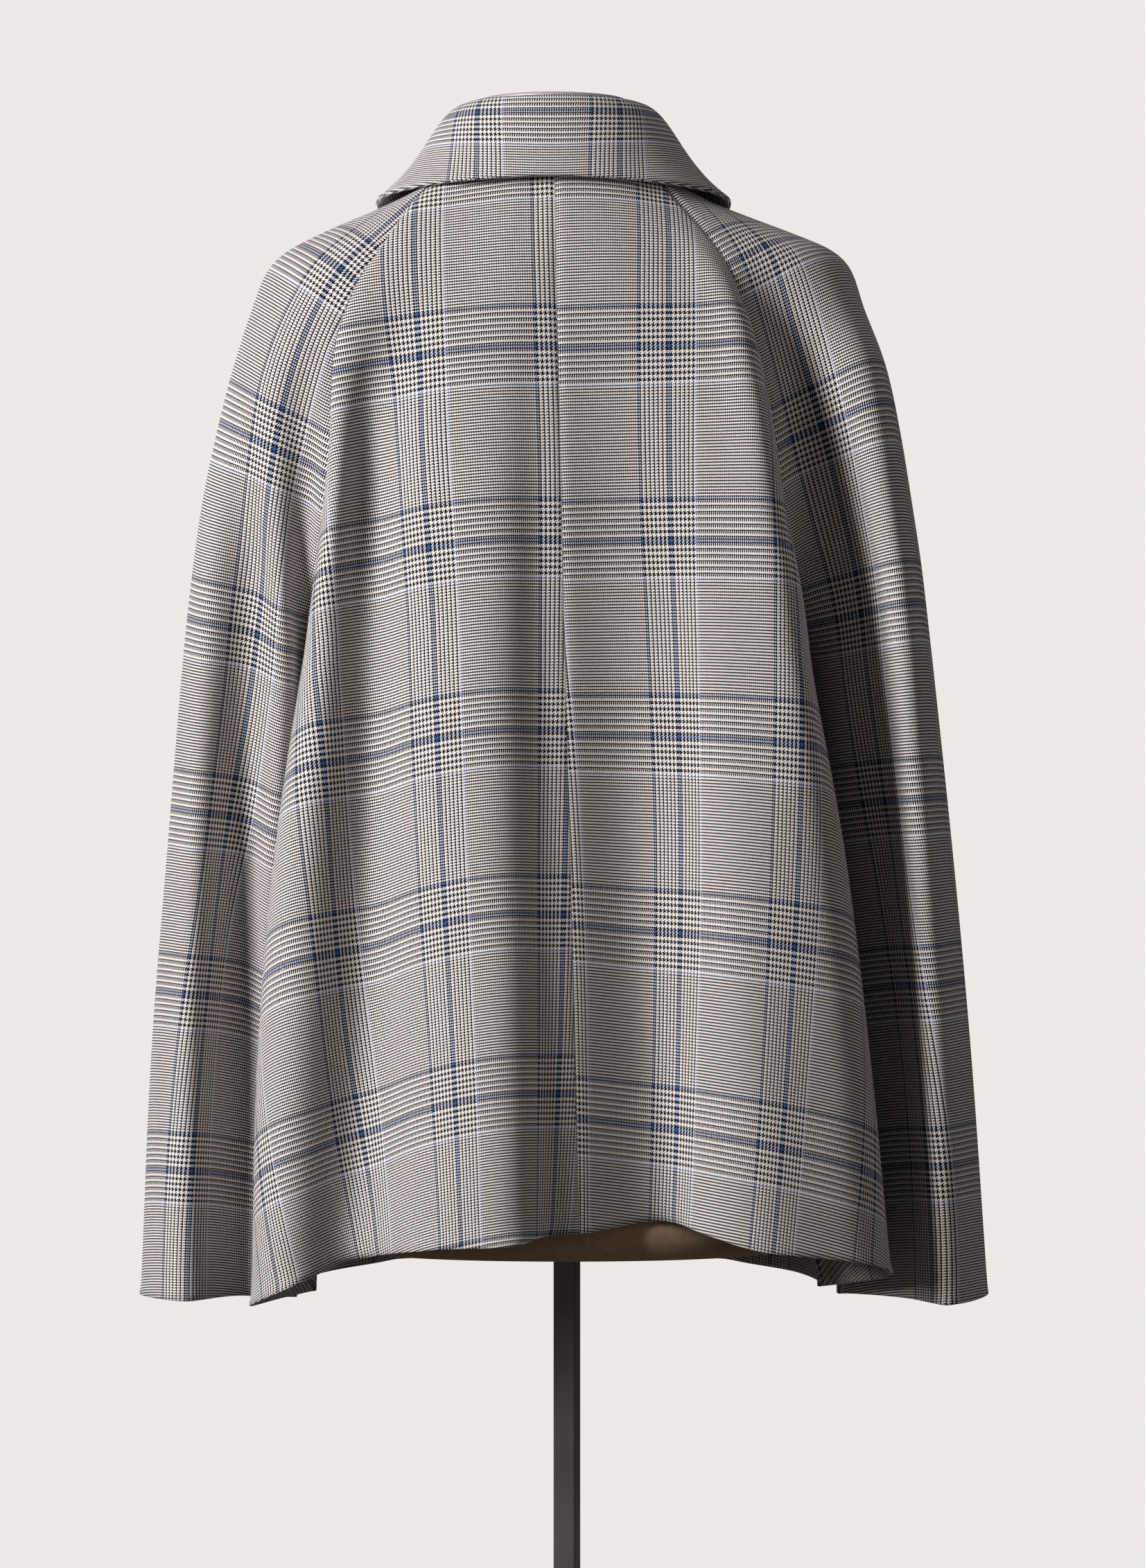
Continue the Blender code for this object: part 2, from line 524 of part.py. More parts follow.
def build_collar(wool):
    """The stand, from the neck seam to the fold, and the leaf, from the fold to its edge."""
    stand = []
    leaf = []
    for angle, fold_z, edge_radius, edge_z, bulge, hollow in collar_columns():
        side = "right" if angle > 0 else "left"
        foot = neck_point(side, abs(angle))
        top_z = fold_z - FOLD_RISE
        wide = NECK_WIDE - STAND_LEAN
        deep = NECK_DEEP - STAND_LEAN
        crown = np.array(ring_point(angle, wide, fold_z, deep))
        top = np.array(ring_point(angle, wide, top_z, deep))
        foot[2] += STAND_RISE
        stand.append([foot + (top - foot) * row / ROWS_STAND for row in range(ROWS_STAND + 1)])
        edge = np.array(ring_point(angle, edge_radius, edge_z))
        reach = (edge - crown) * (1, 1, 0)
        out = unit(reach)
        shoulder = crown + out * bulge - (0, 0, FOLD_DROP)
        chest = crown + reach * hollow - (0, 0, LEAF_STEEP * (fold_z - edge_z))
        start = crown - out * FOLD_BACK - (0, 0, FOLD_BACK_DROP)
        column = [start]
        for row in range(ROWS_LEAF + 1):
            t = row / ROWS_LEAF
            column.append(
                (1 - t) ** 3 * crown + 3 * t * (1 - t) ** 2 * shoulder + 3 * t**2 * (1 - t) * chest + t**3 * edge
            )
        leaf.append(column)
    stand = np.array(stand).transpose(1, 0, 2)
    leaf = np.array(leaf).transpose(1, 0, 2)
    cloth("collar_stand", stand, normals(stand, 1), wool)
    cloth("collar_leaf", leaf, normals(leaf, -1), wool)


def build_button(name, place, facing, finish):
    """A dished disc with a raised rim, whose back faces the cloth."""
    profile = [
        (0.0, 0.0),
        (BUTTON_RADIUS - BUTTON_RIM, 0.0),
        (BUTTON_RADIUS, BUTTON_RIM),
        (BUTTON_RADIUS, BUTTON_THICK - BUTTON_RIM),
        (BUTTON_RADIUS - BUTTON_RIM, BUTTON_THICK),
        (BUTTON_RADIUS - 2.5 * BUTTON_RIM, BUTTON_THICK),
        (BUTTON_RADIUS - 3.5 * BUTTON_RIM, BUTTON_THICK - BUTTON_RIM),
        (0.0, BUTTON_THICK - BUTTON_RIM),
    ]
    bm = bmesh.new()
    verts = [bm.verts.new((radius * MM, 0, height * MM)) for radius, height in profile]
    edges = [bm.edges.new(pair) for pair in zip(verts, verts[1:])]
    bmesh.ops.spin(
        bm,
        geom=verts + edges,
        cent=(0, 0, 0),
        axis=(0, 0, 1),
        angle=2 * math.pi,
        steps=BUTTON_SIDES,
        use_merge=True,
    )
    bmesh.ops.remove_doubles(bm, verts=bm.verts, dist=1e-6)
    turn = Vector((0, 0, 1)).rotation_difference(Vector(facing)).to_matrix().to_4x4()
    bm.transform(Matrix.Translation(Vector(place) * MM) @ turn)
    add_object(name, bm, finish)


def build_buttons(grid, face, horn):
    """Four buttons down the centre front, on the right front's face."""
    rows = grid.shape[0]
    for index, height in enumerate(BUTTON_HEIGHTS, start=1):
        at_centre = np.empty((rows, 3))
        normal = np.empty((rows, 3))
        for row in range(rows):
            order = np.argsort(grid[row, :, 0])
            for axis in range(3):
                at_centre[row, axis] = np.interp(FRONT_MID_X, grid[row, order, 0], grid[row, order, axis])
                normal[row, axis] = np.interp(FRONT_MID_X, grid[row, order, 0], face[row, order, axis])
        place = np.array([np.interp(-height, -at_centre[:, 2], at_centre[:, axis]) for axis in range(3)])
        facing = unit(np.array([np.interp(-height, -at_centre[:, 2], normal[:, axis]) for axis in range(3)]))
        build_button(f"button_{index}", place + facing * 0.5, facing, horn)


def form_ring(z, half_width, behind, front):
    """One ring of the form: a squared ellipse, round at the neck."""
    foot_z = FORM_ROWS[0][0]
    neck_z = FORM_ROWS[-1][0]
    centre = FORM_TOP_X * (z - foot_z) / (neck_z - foot_z)
    neck = min(max((z - 1400) / 50, 0), 1)
    power = FORM_SQUARENESS * (1 - neck) + 2 * neck
    points = []
    for step in range(FORM_SIDES):
        turn = 2 * math.pi * step / FORM_SIDES
        across = math.sin(turn)
        along = -math.cos(turn)
        x = centre + half_width * math.copysign(abs(across) ** (2 / power), across)
        y = (behind if along < 0 else front) * math.copysign(abs(along) ** (2 / power), along)
        points.append((x * MM, (y + NECK_Y * neck) * MM, z * MM))
    return points


def build_form(linen):
    """The torso, one closed body of rings."""
    bm = bmesh.new()
    rings = [[bm.verts.new(point) for point in form_ring(*row)] for row in FORM_ROWS]
    for low, high in zip(rings, rings[1:]):
        for a in range(FORM_SIDES):
            b = (a + 1) % FORM_SIDES
            bm.faces.new((low[a], low[b], high[b], high[a]))
    bm.faces.new(rings[0])
    bm.faces.new(rings[-1])
    add_object("form_torso", bm, linen)


def build_cap(steel):
    """The disc that closes the neck."""
    low = FORM_ROWS[-1][0] + FIT_GAP
    profile = [
        (0.0, low),
        (CAP_RADIUS, low),
        (CAP_RADIUS, low + CAP_THICK - CAP_EDGE),
        (CAP_RADIUS - CAP_EDGE * 0.4, low + CAP_THICK - CAP_EDGE * 0.3),
        (CAP_RADIUS - CAP_EDGE, low + CAP_THICK),
        (0.0, low + CAP_THICK),
    ]
    bm = bmesh.new()
    verts = [bm.verts.new((radius * MM, 0, height * MM)) for radius, height in profile]
    edges = [bm.edges.new(pair) for pair in zip(verts, verts[1:])]
    bmesh.ops.spin(
        bm,
        geom=verts + edges,
        cent=(0, 0, 0),
        axis=(0, 0, 1),
        angle=2 * math.pi,
        steps=CAP_SIDES,
        use_merge=True,
    )
    bmesh.ops.remove_doubles(bm, verts=bm.verts, dist=1e-6)
    bmesh.ops.translate(bm, verts=bm.verts, vec=(FORM_TOP_X * MM, NECK_Y * MM, 0))
    add_object("neck_cap", bm, steel)


def build_block(name, size, low, corner, edge, turn, finish):
    """An upright block with rounded vertical corners and eased edges."""
    bm = bmesh.new()
    bmesh.ops.create_cube(bm, size=1.0)
    bmesh.ops.scale(bm, vec=(size[0] * MM, size[1] * MM, size[2] * MM), verts=bm.verts)
    upright = [e for e in bm.edges if abs(e.verts[0].co.z - e.verts[1].co.z) > 1e-6]
    bmesh.ops.bevel(bm, geom=upright, offset=corner * MM, segments=6 if corner > 5 else 2, profile=0.5, affect="EDGES")
    if edge:
        rims = [e for e in bm.edges if abs(e.verts[0].co.z - e.verts[1].co.z) < 1e-6]
        bmesh.ops.bevel(bm, geom=rims, offset=edge * MM, segments=1, profile=0.5, affect="EDGES")
    bmesh.ops.rotate(bm, cent=(0, 0, 0), matrix=Matrix.Rotation(math.radians(turn), 3, "Z"), verts=bm.verts)
    bmesh.ops.translate(bm, verts=bm.verts, vec=(0, 0, (low + size[2] / 2) * MM))
    add_object(name, bm, finish)


def build_stand(black):
    """Base plate on the floor, and the pole up to the form."""
    build_block("base_plate", (PLATE_WIDE, PLATE_WIDE, PLATE_THICK), 0, PLATE_CORNER, PLATE_EDGE, 0, black)
    low = PLATE_THICK + FIT_GAP
    high = FORM_ROWS[0][0] - FIT_GAP
    build_block("pole", (POLE_WIDE, POLE_WIDE, high - low), low, POLE_EDGE, 0, POLE_TURN, black)


def main():
    for old in list(bpy.data.objects):
        bpy.data.objects.remove(old)
    wool = material("wool_check", WOOL, 0.9)
    linen = material("linen", LINEN, 0.92)
    steel = material("brushed_steel", STEEL, 0.35, 1.0)
    black = material("black_steel", BLACK_STEEL, 0.45)
    horn = material("dark_button", HORN, 0.3)
    grids, faces = build_body_and_sleeves(wool)
    build_collar(wool)
    build_buttons(grids["front_right"], faces["front_right"], horn)
    build_form(linen)
    build_cap(steel)
    build_stand(black)


main()
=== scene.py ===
"""Looks of the short swing coat on its dress form.

Units are metres, +Z is up and the coat's back faces -Y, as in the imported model. The tables below are
in millimetres, and MM turns them into metres. They are the solids' own tables, read at a finer step.
"""

import math

import bmesh
import bpy
import numpy as np
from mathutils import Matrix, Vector


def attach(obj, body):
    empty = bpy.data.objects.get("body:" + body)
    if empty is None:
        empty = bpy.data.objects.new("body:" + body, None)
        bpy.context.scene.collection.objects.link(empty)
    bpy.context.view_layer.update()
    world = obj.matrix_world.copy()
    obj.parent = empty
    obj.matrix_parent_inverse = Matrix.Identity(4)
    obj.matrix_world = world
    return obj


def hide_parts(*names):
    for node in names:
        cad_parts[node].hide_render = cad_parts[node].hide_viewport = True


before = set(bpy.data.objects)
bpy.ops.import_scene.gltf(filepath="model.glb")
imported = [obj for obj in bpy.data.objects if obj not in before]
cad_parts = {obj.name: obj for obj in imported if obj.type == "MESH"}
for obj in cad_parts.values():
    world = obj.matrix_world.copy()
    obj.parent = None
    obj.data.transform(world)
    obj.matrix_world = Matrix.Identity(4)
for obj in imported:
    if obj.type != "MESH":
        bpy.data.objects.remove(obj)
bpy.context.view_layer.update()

MM = 0.001
DECIMETRE = 100.0  # in millimetres
TINY = 1e-9  # keeps a length out of zero where it divides
LEAST_STEP = 1e-6  # and the distance between two knots

# Cloth
WALL = 2.0  # thickness of the wool
RIM_SWELL = 0.45  # how far a cut edge rounds out
SEAM_GAP = 0.4  # between two pieces at a straight seam
RAGLAN_GAP = 0.65  # between a sleeve and the panels beside it
UNDERARM_EASE = 0.35  # each wall's step away from the other below the armhole
MITRE_END = 0.84  # share of the armhole seam where the walls' edges stop being mitred
MITRE_FADE = 0.12
SEAM_DIP = 1.3  # depth of the furrow along a seam
SEAM_REACH = 2.6  # and how far it reaches into each panel
LEAF_WALL = 2.0  # thickness of the collar's leaf
LEAF_EDGE_WALL = 3.2  # and at its edge, over its last third

# Rows and columns of the cloth grids
ROWS_YOKE = 84
ROWS_SKIRT = 90
ROWS_SLEEVE = 90
COLS_BACK = 62
COLS_FRONT = 60
COLS_SLEEVE = 84
COLS_COLLAR = 200
ROWS_LEAF = 26
ROWS_STAND = 8
EDGE_STEPS = (0.0, 0.7, 1.5, 2.6, 4.2)  # columns next to a seam, as distances from it
SECTION_STEPS = 8  # fine steps for each column, from which the columns are spaced
UNDERARM_ROW = 11  # where the sleeve closes into a tube; the neck ring is row 0, SLEEVE_ROWS follow
CLOSING_ROWS = 12  # grid rows over which its section closes
UNDERARM_EASE_POWER = 6  # how late down the armhole the ease sets in
ARM_LINE_RISE = 10.0  # height over the underarm of its row's inner end
SMOOTH_PASSES = 10
SMOOTH_SHARE = 0.6

# Neck ring: an ellipse that dips towards the front
NECK_X = -9.0
NECK_Y = 2.0
NECK_WIDE = 64.0
NECK_DEEP = 60.0
NECK_BACK_Z = 1447.0
NECK_DIP = 43.0
RAGLAN_BACK_ANGLE = 50.0  # where the back raglan seam leaves the neck ring
RAGLAN_FRONT_ANGLE = 125.0

# Sleeves, a row for each section below the neck. Columns: height of the back seam, of the outer
# line and of the front seam, then x and y of the back seam, the ditch beside it, the inner roll, the
# groove, the ridge that faces back, the outer line, the front bulge and the front seam.
SLEEVE_LEFT_ROWS = [
    (1425, 1416.5, 1404, -82, -53, -85, -50, -89, -44, -93, -36, -98, -23, -103, 0, -98, 32, -86, 52),
    (1408, 1404, 1388, -100.7, -62, -106, -58, -112, -52, -118, -44, -125, -29, -131, 0, -124, 36, -105, 62),
    (1375.5, 1390, 1357, -121.5, -78, -129, -74, -138, -68, -147, -58, -156, -41, -164, 0, -154, 45, -126, 78),
    (1346.4, 1368.5, 1328, -139, -88, -147, -84, -158, -79, -171, -68, -184, -51, -198, 0, -181, 52, -141, 88),
    (1316, 1341, 1300, -149.4, -90, -158, -86, -170, -83, -184, -73, -196, -58, -208, 0, -190, 58, -148, 92),
    (1277, 1300, 1258, -153.8, -88, -171, -80, -188, -81, -201, -71, -211, -56, -221, 0, -200, 62, -152, 91),
    (1238, 1255, 1218, -155.6, -84, -171, -72, -188, -80, -205, -68, -221, -55, -232, 0, -207, 64, -155, 85),
    (1201, 1212, 1182, -160, -76, -171, -63, -187, -78, -208, -61, -227, -56, -240.5, 0, -213, 62, -159, 74),
    (1162, 1170, 1146, -165, -58, -172.5, -51, -185, -73, -207, -51, -230, -57, -247, 1, -218, 58, -163, 54),
    (1122, 1132, 1114, -168.5, -30, -174, -38, -184, -66, -208, -43, -232, -56, -252, 2, -222, 54, -167.5, 26),
    (1098, 1102, 1098, -170.5, 0, -175, -28, -184, -58, -209, -37, -235, -54, -255, 3, -224, 52, -170.5, 0),
    (1000, 1000, 1000, -175, 3, -180, -18, -189, -43, -214, -20, -241, -50, -264, 4, -229, 50, -175, 3),
    (857, 857, 857, -178, 4, -184, -6, -194, -18, -215, -2, -248, -46, -276, 5, -232, 48, -178, 4),
    (686, 688, 689, -178, 6, -186, -2, -199, -8, -213, -4, -250, -44, -284, 6, -234, 48, -178, 6),
]
SLEEVE_RIGHT_ROWS = [
    (1425, 1416.5, 1404, 58, -53, 63, -49, 69, -43, 75, -34, 80, -22, 85, 0, 80, 32, 68, 52),
    (1406.5, 1402.5, 1386.5, 73.7, -62, 80, -59, 90, -52, 99, -43, 108, -30, 119, 0, 110, 36, 89, 62),
    (1374.5, 1389, 1356, 98.5, -78, 106, -73, 117, -68, 128, -61, 138, -50, 151, 0, 140.5, 45, 112, 78),
    (1346.4, 1368.5, 1328, 112, -88, 122, -80, 136, -74, 149, -72, 161, -66, 188, 0, 170, 52, 128, 88),
    (1316, 1341, 1300, 121.4, -90, 132, -79, 146, -73, 160, -75, 172, -72, 196, 0, 179, 58, 136, 92),
    (1277, 1300, 1258, 130.8, -86, 142, -75, 156, -70, 172, -80, 186, -85, 210, 0, 191, 62, 142, 91),
    (1238, 1255, 1218, 136.6, -84, 149, -69, 163, -66, 180, -78, 195, -91, 220, 0, 198, 64, 145, 85),
    (1201, 1212, 1182, 143, -76, 155, -62, 169, -61, 187, -75, 202, -95, 227, 0, 203.5, 62, 149, 74),
    (1162, 1170, 1146, 151, -58, 161, -52, 174, -55, 192, -69, 210, -98, 232.5, 1, 207.5, 58, 152, 54),
    (1122, 1132, 1114, 156.5, -30, 163, -38, 176, -50, 195, -66, 214, -99, 236.5, 2, 211, 54, 156.5, 26),
    (1098, 1102, 1098, 159.5, 0, 164.5, -28, 177, -46, 197, -64, 217, -99, 239.5, 3, 213, 52, 159.5, 0),
    (1000, 1000, 1000, 165, 3, 170, -14, 181, -34, 203, -54, 225, -98, 250.5, 4, 219.5, 50, 165, 3),
    (861, 861, 861, 172, 4, 178, -6, 190, -20, 212, -44, 236, -94, 263.5, 5, 225, 48, 172, 4),
    (688, 690, 691, 178, 6, 186, 0, 199, -12, 220, -38, 244, -90, 276.5, 6, 232.5, 48, 178, 6),
]
SLEEVE_ROWS = {"left": SLEEVE_LEFT_ROWS, "right": SLEEVE_RIGHT_ROWS}
OUTER_LINE = 5  # place of the outer line among the sleeve's lines
# These lines meet the neck ring at these directions from the centre back
SLEEVE_NECK_ANGLES = (RAGLAN_BACK_ANGLE, 57.0, 64.0, 71.0, 79.0, 87.5, 106.0, RAGLAN_FRONT_ANGLE)

# Body panels: each line is a ridge, valley or edge that runs from the neck ring to the hem, with
# x, y and z where it passes and its hem as the last row.
CENTRE_BACK = [(-8, -78, 1415), (-6.7, -98, 1350), (-5, -106, 1280), (-1, -110, 1110), (2.2, -118, 1000),
               (5.5, -135, 865), (8.8, -148, 740)]
BACK_LEFT_LINES = [
    # dip beside the centre back seam
    [(-18, -76.5, 1414), (-18, -99, 1350), (-17, -106, 1280), (-15, -110, 1108), (-12, -119, 1000),
     (-9, -138, 865), (-5, -152, 740)],
    # ridge beside it
    [(-32, -76, 1414), (-36, -100, 1350), (-38, -111, 1280), (-39, -128, 1108), (-39, -143, 1000),
     (-35, -167, 865), (-33, -189, 736)],
    # outer shoulder of that ridge
    [(-55, -72, 1413), (-71, -97, 1349), (-82, -106, 1279), (-94, -113, 1106), (-92, -127, 999),
     (-86, -151, 864), (-86, -173, 732)],
    # valley below the shoulder blade
    [(-76, -68, 1411), (-107, -92, 1348), (-129, -82, 1278), (-130, -78, 1214), (-128, -82, 1104),
     (-129, -91, 998), (-132, -110, 862), (-139, -124, 720)],
    # ridge next to the side edge
    [(-89, -66, 1410), (-128, -90, 1347), (-146, -93, 1278), (-152, -99, 1214), (-161, -107, 1102),
     (-169, -121, 996), (-176, -141, 860), (-180, -152, 705)],
    # outermost line of the panel
    [(-96, -64, 1409), (-136, -88.5, 1347), (-151, -91, 1277), (-157, -89, 1200), (-165, -88, 1150),
     (-171, -90, 1100), (-185, -106, 994), (-196, -122, 858), (-201, -127, 694)],
    # side wall
    [(-99, -63, 1408.5), (-138, -88, 1346.5), (-153, -89, 1277), (-159, -82, 1200), (-166, -68, 1150),
     (-169.5, -40, 1099), (-174, -36, 992), (-180, -38, 856), (-186, -42, 690)],
]
BACK_RIGHT_LINES = [
    # valley beside the centre back
    [(5, -77.5, 1415), (10, -98, 1350), (15, -103, 1280), (36, -99, 1109), (49, -98, 1000),
     (61, -107, 865), (66, -116, 745)],
    # foot of the wall that rises from it
    [(15, -77, 1414), (24, -98, 1350), (38, -102, 1279), (66, -103, 1108), (78, -110, 1000),
     (86, -126, 864), (89, -141, 739)],
    # broad ridge
    [(29, -75, 1413), (47, -97, 1349), (66, -105, 1279), (83, -112, 1200), (91, -119, 1106), (99, -129, 998),
     (110, -141, 862), (119, -152, 730)],
    # slope outside it
    [(46, -71, 1411), (82, -96, 1348), (100, -112, 1278), (109, -119, 1200), (120, -127, 1104),
     (134, -135, 996), (149, -136, 860), (162, -140, 724)],
    # ridge next to the side edge
    [(60, -66, 1409.5), (105, -98, 1347), (121, -117, 1277), (131.5, -124, 1200), (150, -129, 1102),
     (165, -129, 994), (184, -123, 858), (198, -121, 718)],
    # outermost line of the panel
    [(69, -63, 1408.5), (110.5, -92, 1346.5), (128, -107, 1277), (139.5, -114, 1200), (149, -116, 1150),
     (156.5, -112, 1100), (177, -106, 992), (196, -98, 856), (211, -95, 711)],
    # side wall
    [(72, -62.3, 1408), (112, -89, 1346), (130.5, -96, 1277), (142.5, -93, 1200), (152.5, -84, 1150),
     (158, -50, 1099), (168, -38, 991), (178, -35, 855), (186, -36, 699)],
]
# The fronts share these lines. Columns: x outwards from the centre front, y and z.
FRONT_MID_X = -4.0
FRONT_LINES = [
    # overlapping edge
    [(-30, 76, 1380), (-30, 96, 1340), (-30, 115.5, 1280), (-30, 127, 1200), (-30, 135, 1100),
     (-30, 148, 950), (-30, 167, 698)],
    # centre front
    [(0, 78, 1380), (0, 98, 1340), (0, 117, 1280), (0, 128.5, 1200), (0, 137, 1100), (0, 151, 950),
     (0, 171, 699)],
    # inner edge of the overlap
    [(30, 76, 1380), (30, 96, 1340), (30, 115.5, 1280), (30, 127, 1200), (30, 135, 1100), (30, 148, 950),
     (30, 167, 698)],
    # valley beside it
    [(42, 74, 1380), (46, 94.5, 1340), (49, 114, 1280), (51, 125, 1200), (53, 132, 1100), (56, 142, 950),
     (64, 155, 698)],
    # ridge over the bust
    [(54, 72, 1380), (66, 92, 1340), (74, 112, 1280), (80, 126, 1200), (85, 135, 1100), (92, 147, 950),
     (106, 167, 698)],
    # valley towards the side
    [(70, 68, 1379), (92, 87, 1339), (104, 101, 1279), (112, 109, 1199), (117, 112, 1100), (124, 118, 950),
     (130, 130, 697)],
    # ridge at the side
    [(84, 65, 1378), (113, 83, 1338), (128, 94, 1279), (138, 96, 1198), (145, 92, 1100), (154, 98, 950),
     (156, 102, 695)],
    # side wall
    [(96, 62, 1378), (128, 83, 1337), (144, 90.5, 1278), (152, 83, 1197), (159, 66, 1140), (165, 44, 1099),
     (170, 42, 950), (176, 44, 692)],
]
FRONT_NECK_ANGLES = (207.0, 180.0, 153.0, 148.0, 143.0, 138.0, 133.0, 129.0)
# Side seams from the underarm to the hem
SIDE_SEAM = {
    "left": [(-170.5, 0, 1098), (-166, 1, 1050), (-164, 2, 980), (-166, 3, 850), (-170, 4, 690)],
    "right": [(159.5, 0, 1098), (157, 1, 1050), (157, 2, 980), (162, 3, 850), (170, 4, 693)],
}
UNDER_STEP = 3.4  # the left front runs this far below the right one
UNDER_REACH = 38.0  # as far from the centre front as this
UNDER_BLEND = 24.0  # and comes out to its own face over this width

# Collar: a stand, and a leaf that rolls over it. A row for each direction from the centre back.
STAND_END_ANGLE = 170.0
STAND_LEAN = 2.0
STAND_RISE = 1.1  # the stand's foot above the neck ring
FOLD_RISE = 3.6  # the roll's crown above the stand's top edge
FOLD_BACK = 2.2  # the roll starts this far inside its crown
FOLD_BACK_DROP = 0.6  # and this far below it
FOLD_CREST = 0.35  # lift of the roll between that start and the crown
FOLD_DROP = 5.0  # fall of the roll over its bulge
LEAF_STEEP = 0.62  # share of the fall above the leaf's hollow
COLLAR_ROWS = [
    # angle, height of the fold, radius and height of the leaf's lower edge, bulge below the fold, hollow
    (0.0, 1477.0, 86.0, 1422.0, 8.0, 0.60),
    (30.0, 1477.0, 93.0, 1420.5, 10.0, 0.58),
    (60.0, 1476.5, 108.0, 1417.5, 15.0, 0.48),
    (90.0, 1474.0, 117.5, 1413.0, 18.0, 0.43),
    (120.0, 1460.0, 118.0, 1398.0, 17.0, 0.45),
    (148.0, 1436.0, 109.0, 1374.0, 13.0, 0.5),
    (170.0, 1421.0, 98.0, 1357.0, 8.0, 0.5),
]

# Dress form
NECK_TOP = 1471.0
# A row for each ring of the torso. Columns: height, half width, depth behind the axis, depth in front.
FORM_ROWS = [
    (719.0, 146.0, 111.0, 108.0),
    (722.0, 149.5, 114.5, 111.0),
    (760.0, 150.5, 115.0, 111.0),
    (820.0, 150.0, 113.0, 109.0),
    (900.0, 141.0, 103.0, 101.0),
    (1000.0, 126.0, 88.0, 92.0),
    (1060.0, 126.0, 84.0, 96.0),
    (1130.0, 137.0, 88.0, 108.0),
    (1200.0, 146.0, 94.0, 117.0),
    (1260.0, 150.0, 96.0, 110.0),
    (1310.0, 152.0, 94.0, 98.0),
    (1345.0, 154.0, 88.0, 86.0),
    (1365.0, 153.0, 80.0, 76.0),
    (1380.0, 147.0, 70.0, 66.0),
    (1390.0, 134.0, 62.0, 58.0),
    (1400.0, 116.0, 56.0, 50.0),
    (1412.0, 91.0, 52.0, 44.0),
    (1424.0, 66.0, 50.0, 42.0),
    (1436.0, 54.0, 49.0, 44.0),
    (1450.0, 50.0, 49.0, 47.0),
    (1471.0, 49.2, 49.2, 49.2),
]
FORM_RINGS = 110
FORM_SIDES = 120
FORM_EDGE_HEIGHTS = (719.0, 720.0, 722.0)  # rings that round its lower edge
FORM_SIDE_FOOT = 726.0  # and the first of the even rings above them
FORM_SHARP = 50.0  # degrees between faces from which an edge is sharp
FORM_SQUARENESS = 2.15  # exponent of the rings below the neck
ROUND_FROM = 1400.0  # the rings turn from squared to round from this height
ROUND_OVER = 50.0  # over this rise
FORM_TOP_X = -9.0  # the form leans: its axis is here at the neck and at 0 at its foot
LINEN_ROUND = 0.9  # metres of linen round the form

# Glen check, in millimetres of flat cloth. The warp runs down each piece and the weft across it.
WARP_REPEAT = 94.3
WARP_BAND = 38.3  # part of the repeat that is striped in fours
BAND_THREADS = 104.0
GROUND_THREADS = 152.0
BAND_STRIPE = 4.0  # threads in each dark or light stripe of the band
GROUND_STRIPE = 2.0  # and of the ground
BLUE_THREADS = (52.0, 56.0)  # a blue stripe replaces this light one in the band
WEFT_REPEAT = 126.7
WEFT_BAND = 51.5
THIN_BLUE = 2.0  # threads in the thin blue line at each side of a band
TWILL = 2.0  # threads that each thread passes over, and then under
FUZZ_SCALE = 2200.0
FUZZ_REACH = 0.3  # spread of the fibres over a thread's edge
LINEN_PITCH = 0.9  # of the form's linen weave

# Where the check lies on each piece: its place across and down, in millimetres, as sums of the flat
# cut's coordinates u and v in decimetres. Columns: 1, u, v, uv, uu, vv, uuv, uvv, vvv, as far as needed.
CHECK_PLACE = {
    "back_left": (
        (20.1, 99.4, -1.2, -3.3, 0.7, -0.2, 0.4, 1.1, 0.1),
        (-148.0, -0.4, 99.9, -0.2, -0.7, -0.1, -0.6, 0.1, 0.1),
    ),
    "back_right": (
        (-64.0, 99.6, 9.8, 0.5, -0.5, -2.9, 0.5, 0.3, 0.2),
        (-144.8, 1.4, 99.8, 0.5, 0.3, 0.2, -0.6, -0.2, 0.0),
    ),
    "front_left": ((30.0, 100.0), (-130.0, 0.0, 100.0)),
    "front_right": ((30.0, 100.0), (-130.0, 0.0, 100.0)),
    "sleeve_left": (
        (-33.5, 100.0, -35.9, 0.0, 0.0, 9.4, 0.0, 0.0, -0.6),
        (-92.1, -0.5, 100.0, -2.8, -0.8, -0.5, -2.0, 0.6, 0.1),
    ),
    "sleeve_right": (
        (15.2, 100.0, 80.1, 0.0, 0.0, -17.1, 0.1, -0.3, 1.0),
        (-95.0, -11.9, 97.6, 3.9, 2.5, 0.7, -1.4, -0.4, 0.0),
    ),
    "collar_leaf": ((70.4, 79.8, 0.0, 65.0), (9.7, 0.5, 100.0)),
    "collar_stand": ((70.6, 100.0), (60.0, 0.0, 100.0)),
}
NET_ROWS = 34  # of the coarse net on which a flat cut is laid out first
NET_COLUMNS = 18
NET_PASSES = 1500
RELAX_PASSES = 200  # steps that then bring the fine grid to its true lengths
RELAX_SPEED = 0.9  # share of each step that carries on into the next

# Colours, linear
LIGHT_YARN = (0.915, 0.845, 0.82)
DARK_YARN = (0.008, 0.006, 0.007)
BLUE_YARN = (0.035, 0.11, 0.30)
PALE_BLUE_YARN = (0.10, 0.18, 0.40)
LINEN_YARN = (0.52, 0.33, 0.20)
BUTTON_HORN = (0.02, 0.018, 0.017)
BUTTON_CLOUD = (0.05, 0.045, 0.042)
PAINT = (0.05, 0.044, 0.042)
STEEL_TINT = (0.66, 0.60, 0.57)
BACKDROP = (0.86, 0.81, 0.785)
FILL_TINT = (1.0, 0.97, 0.95)

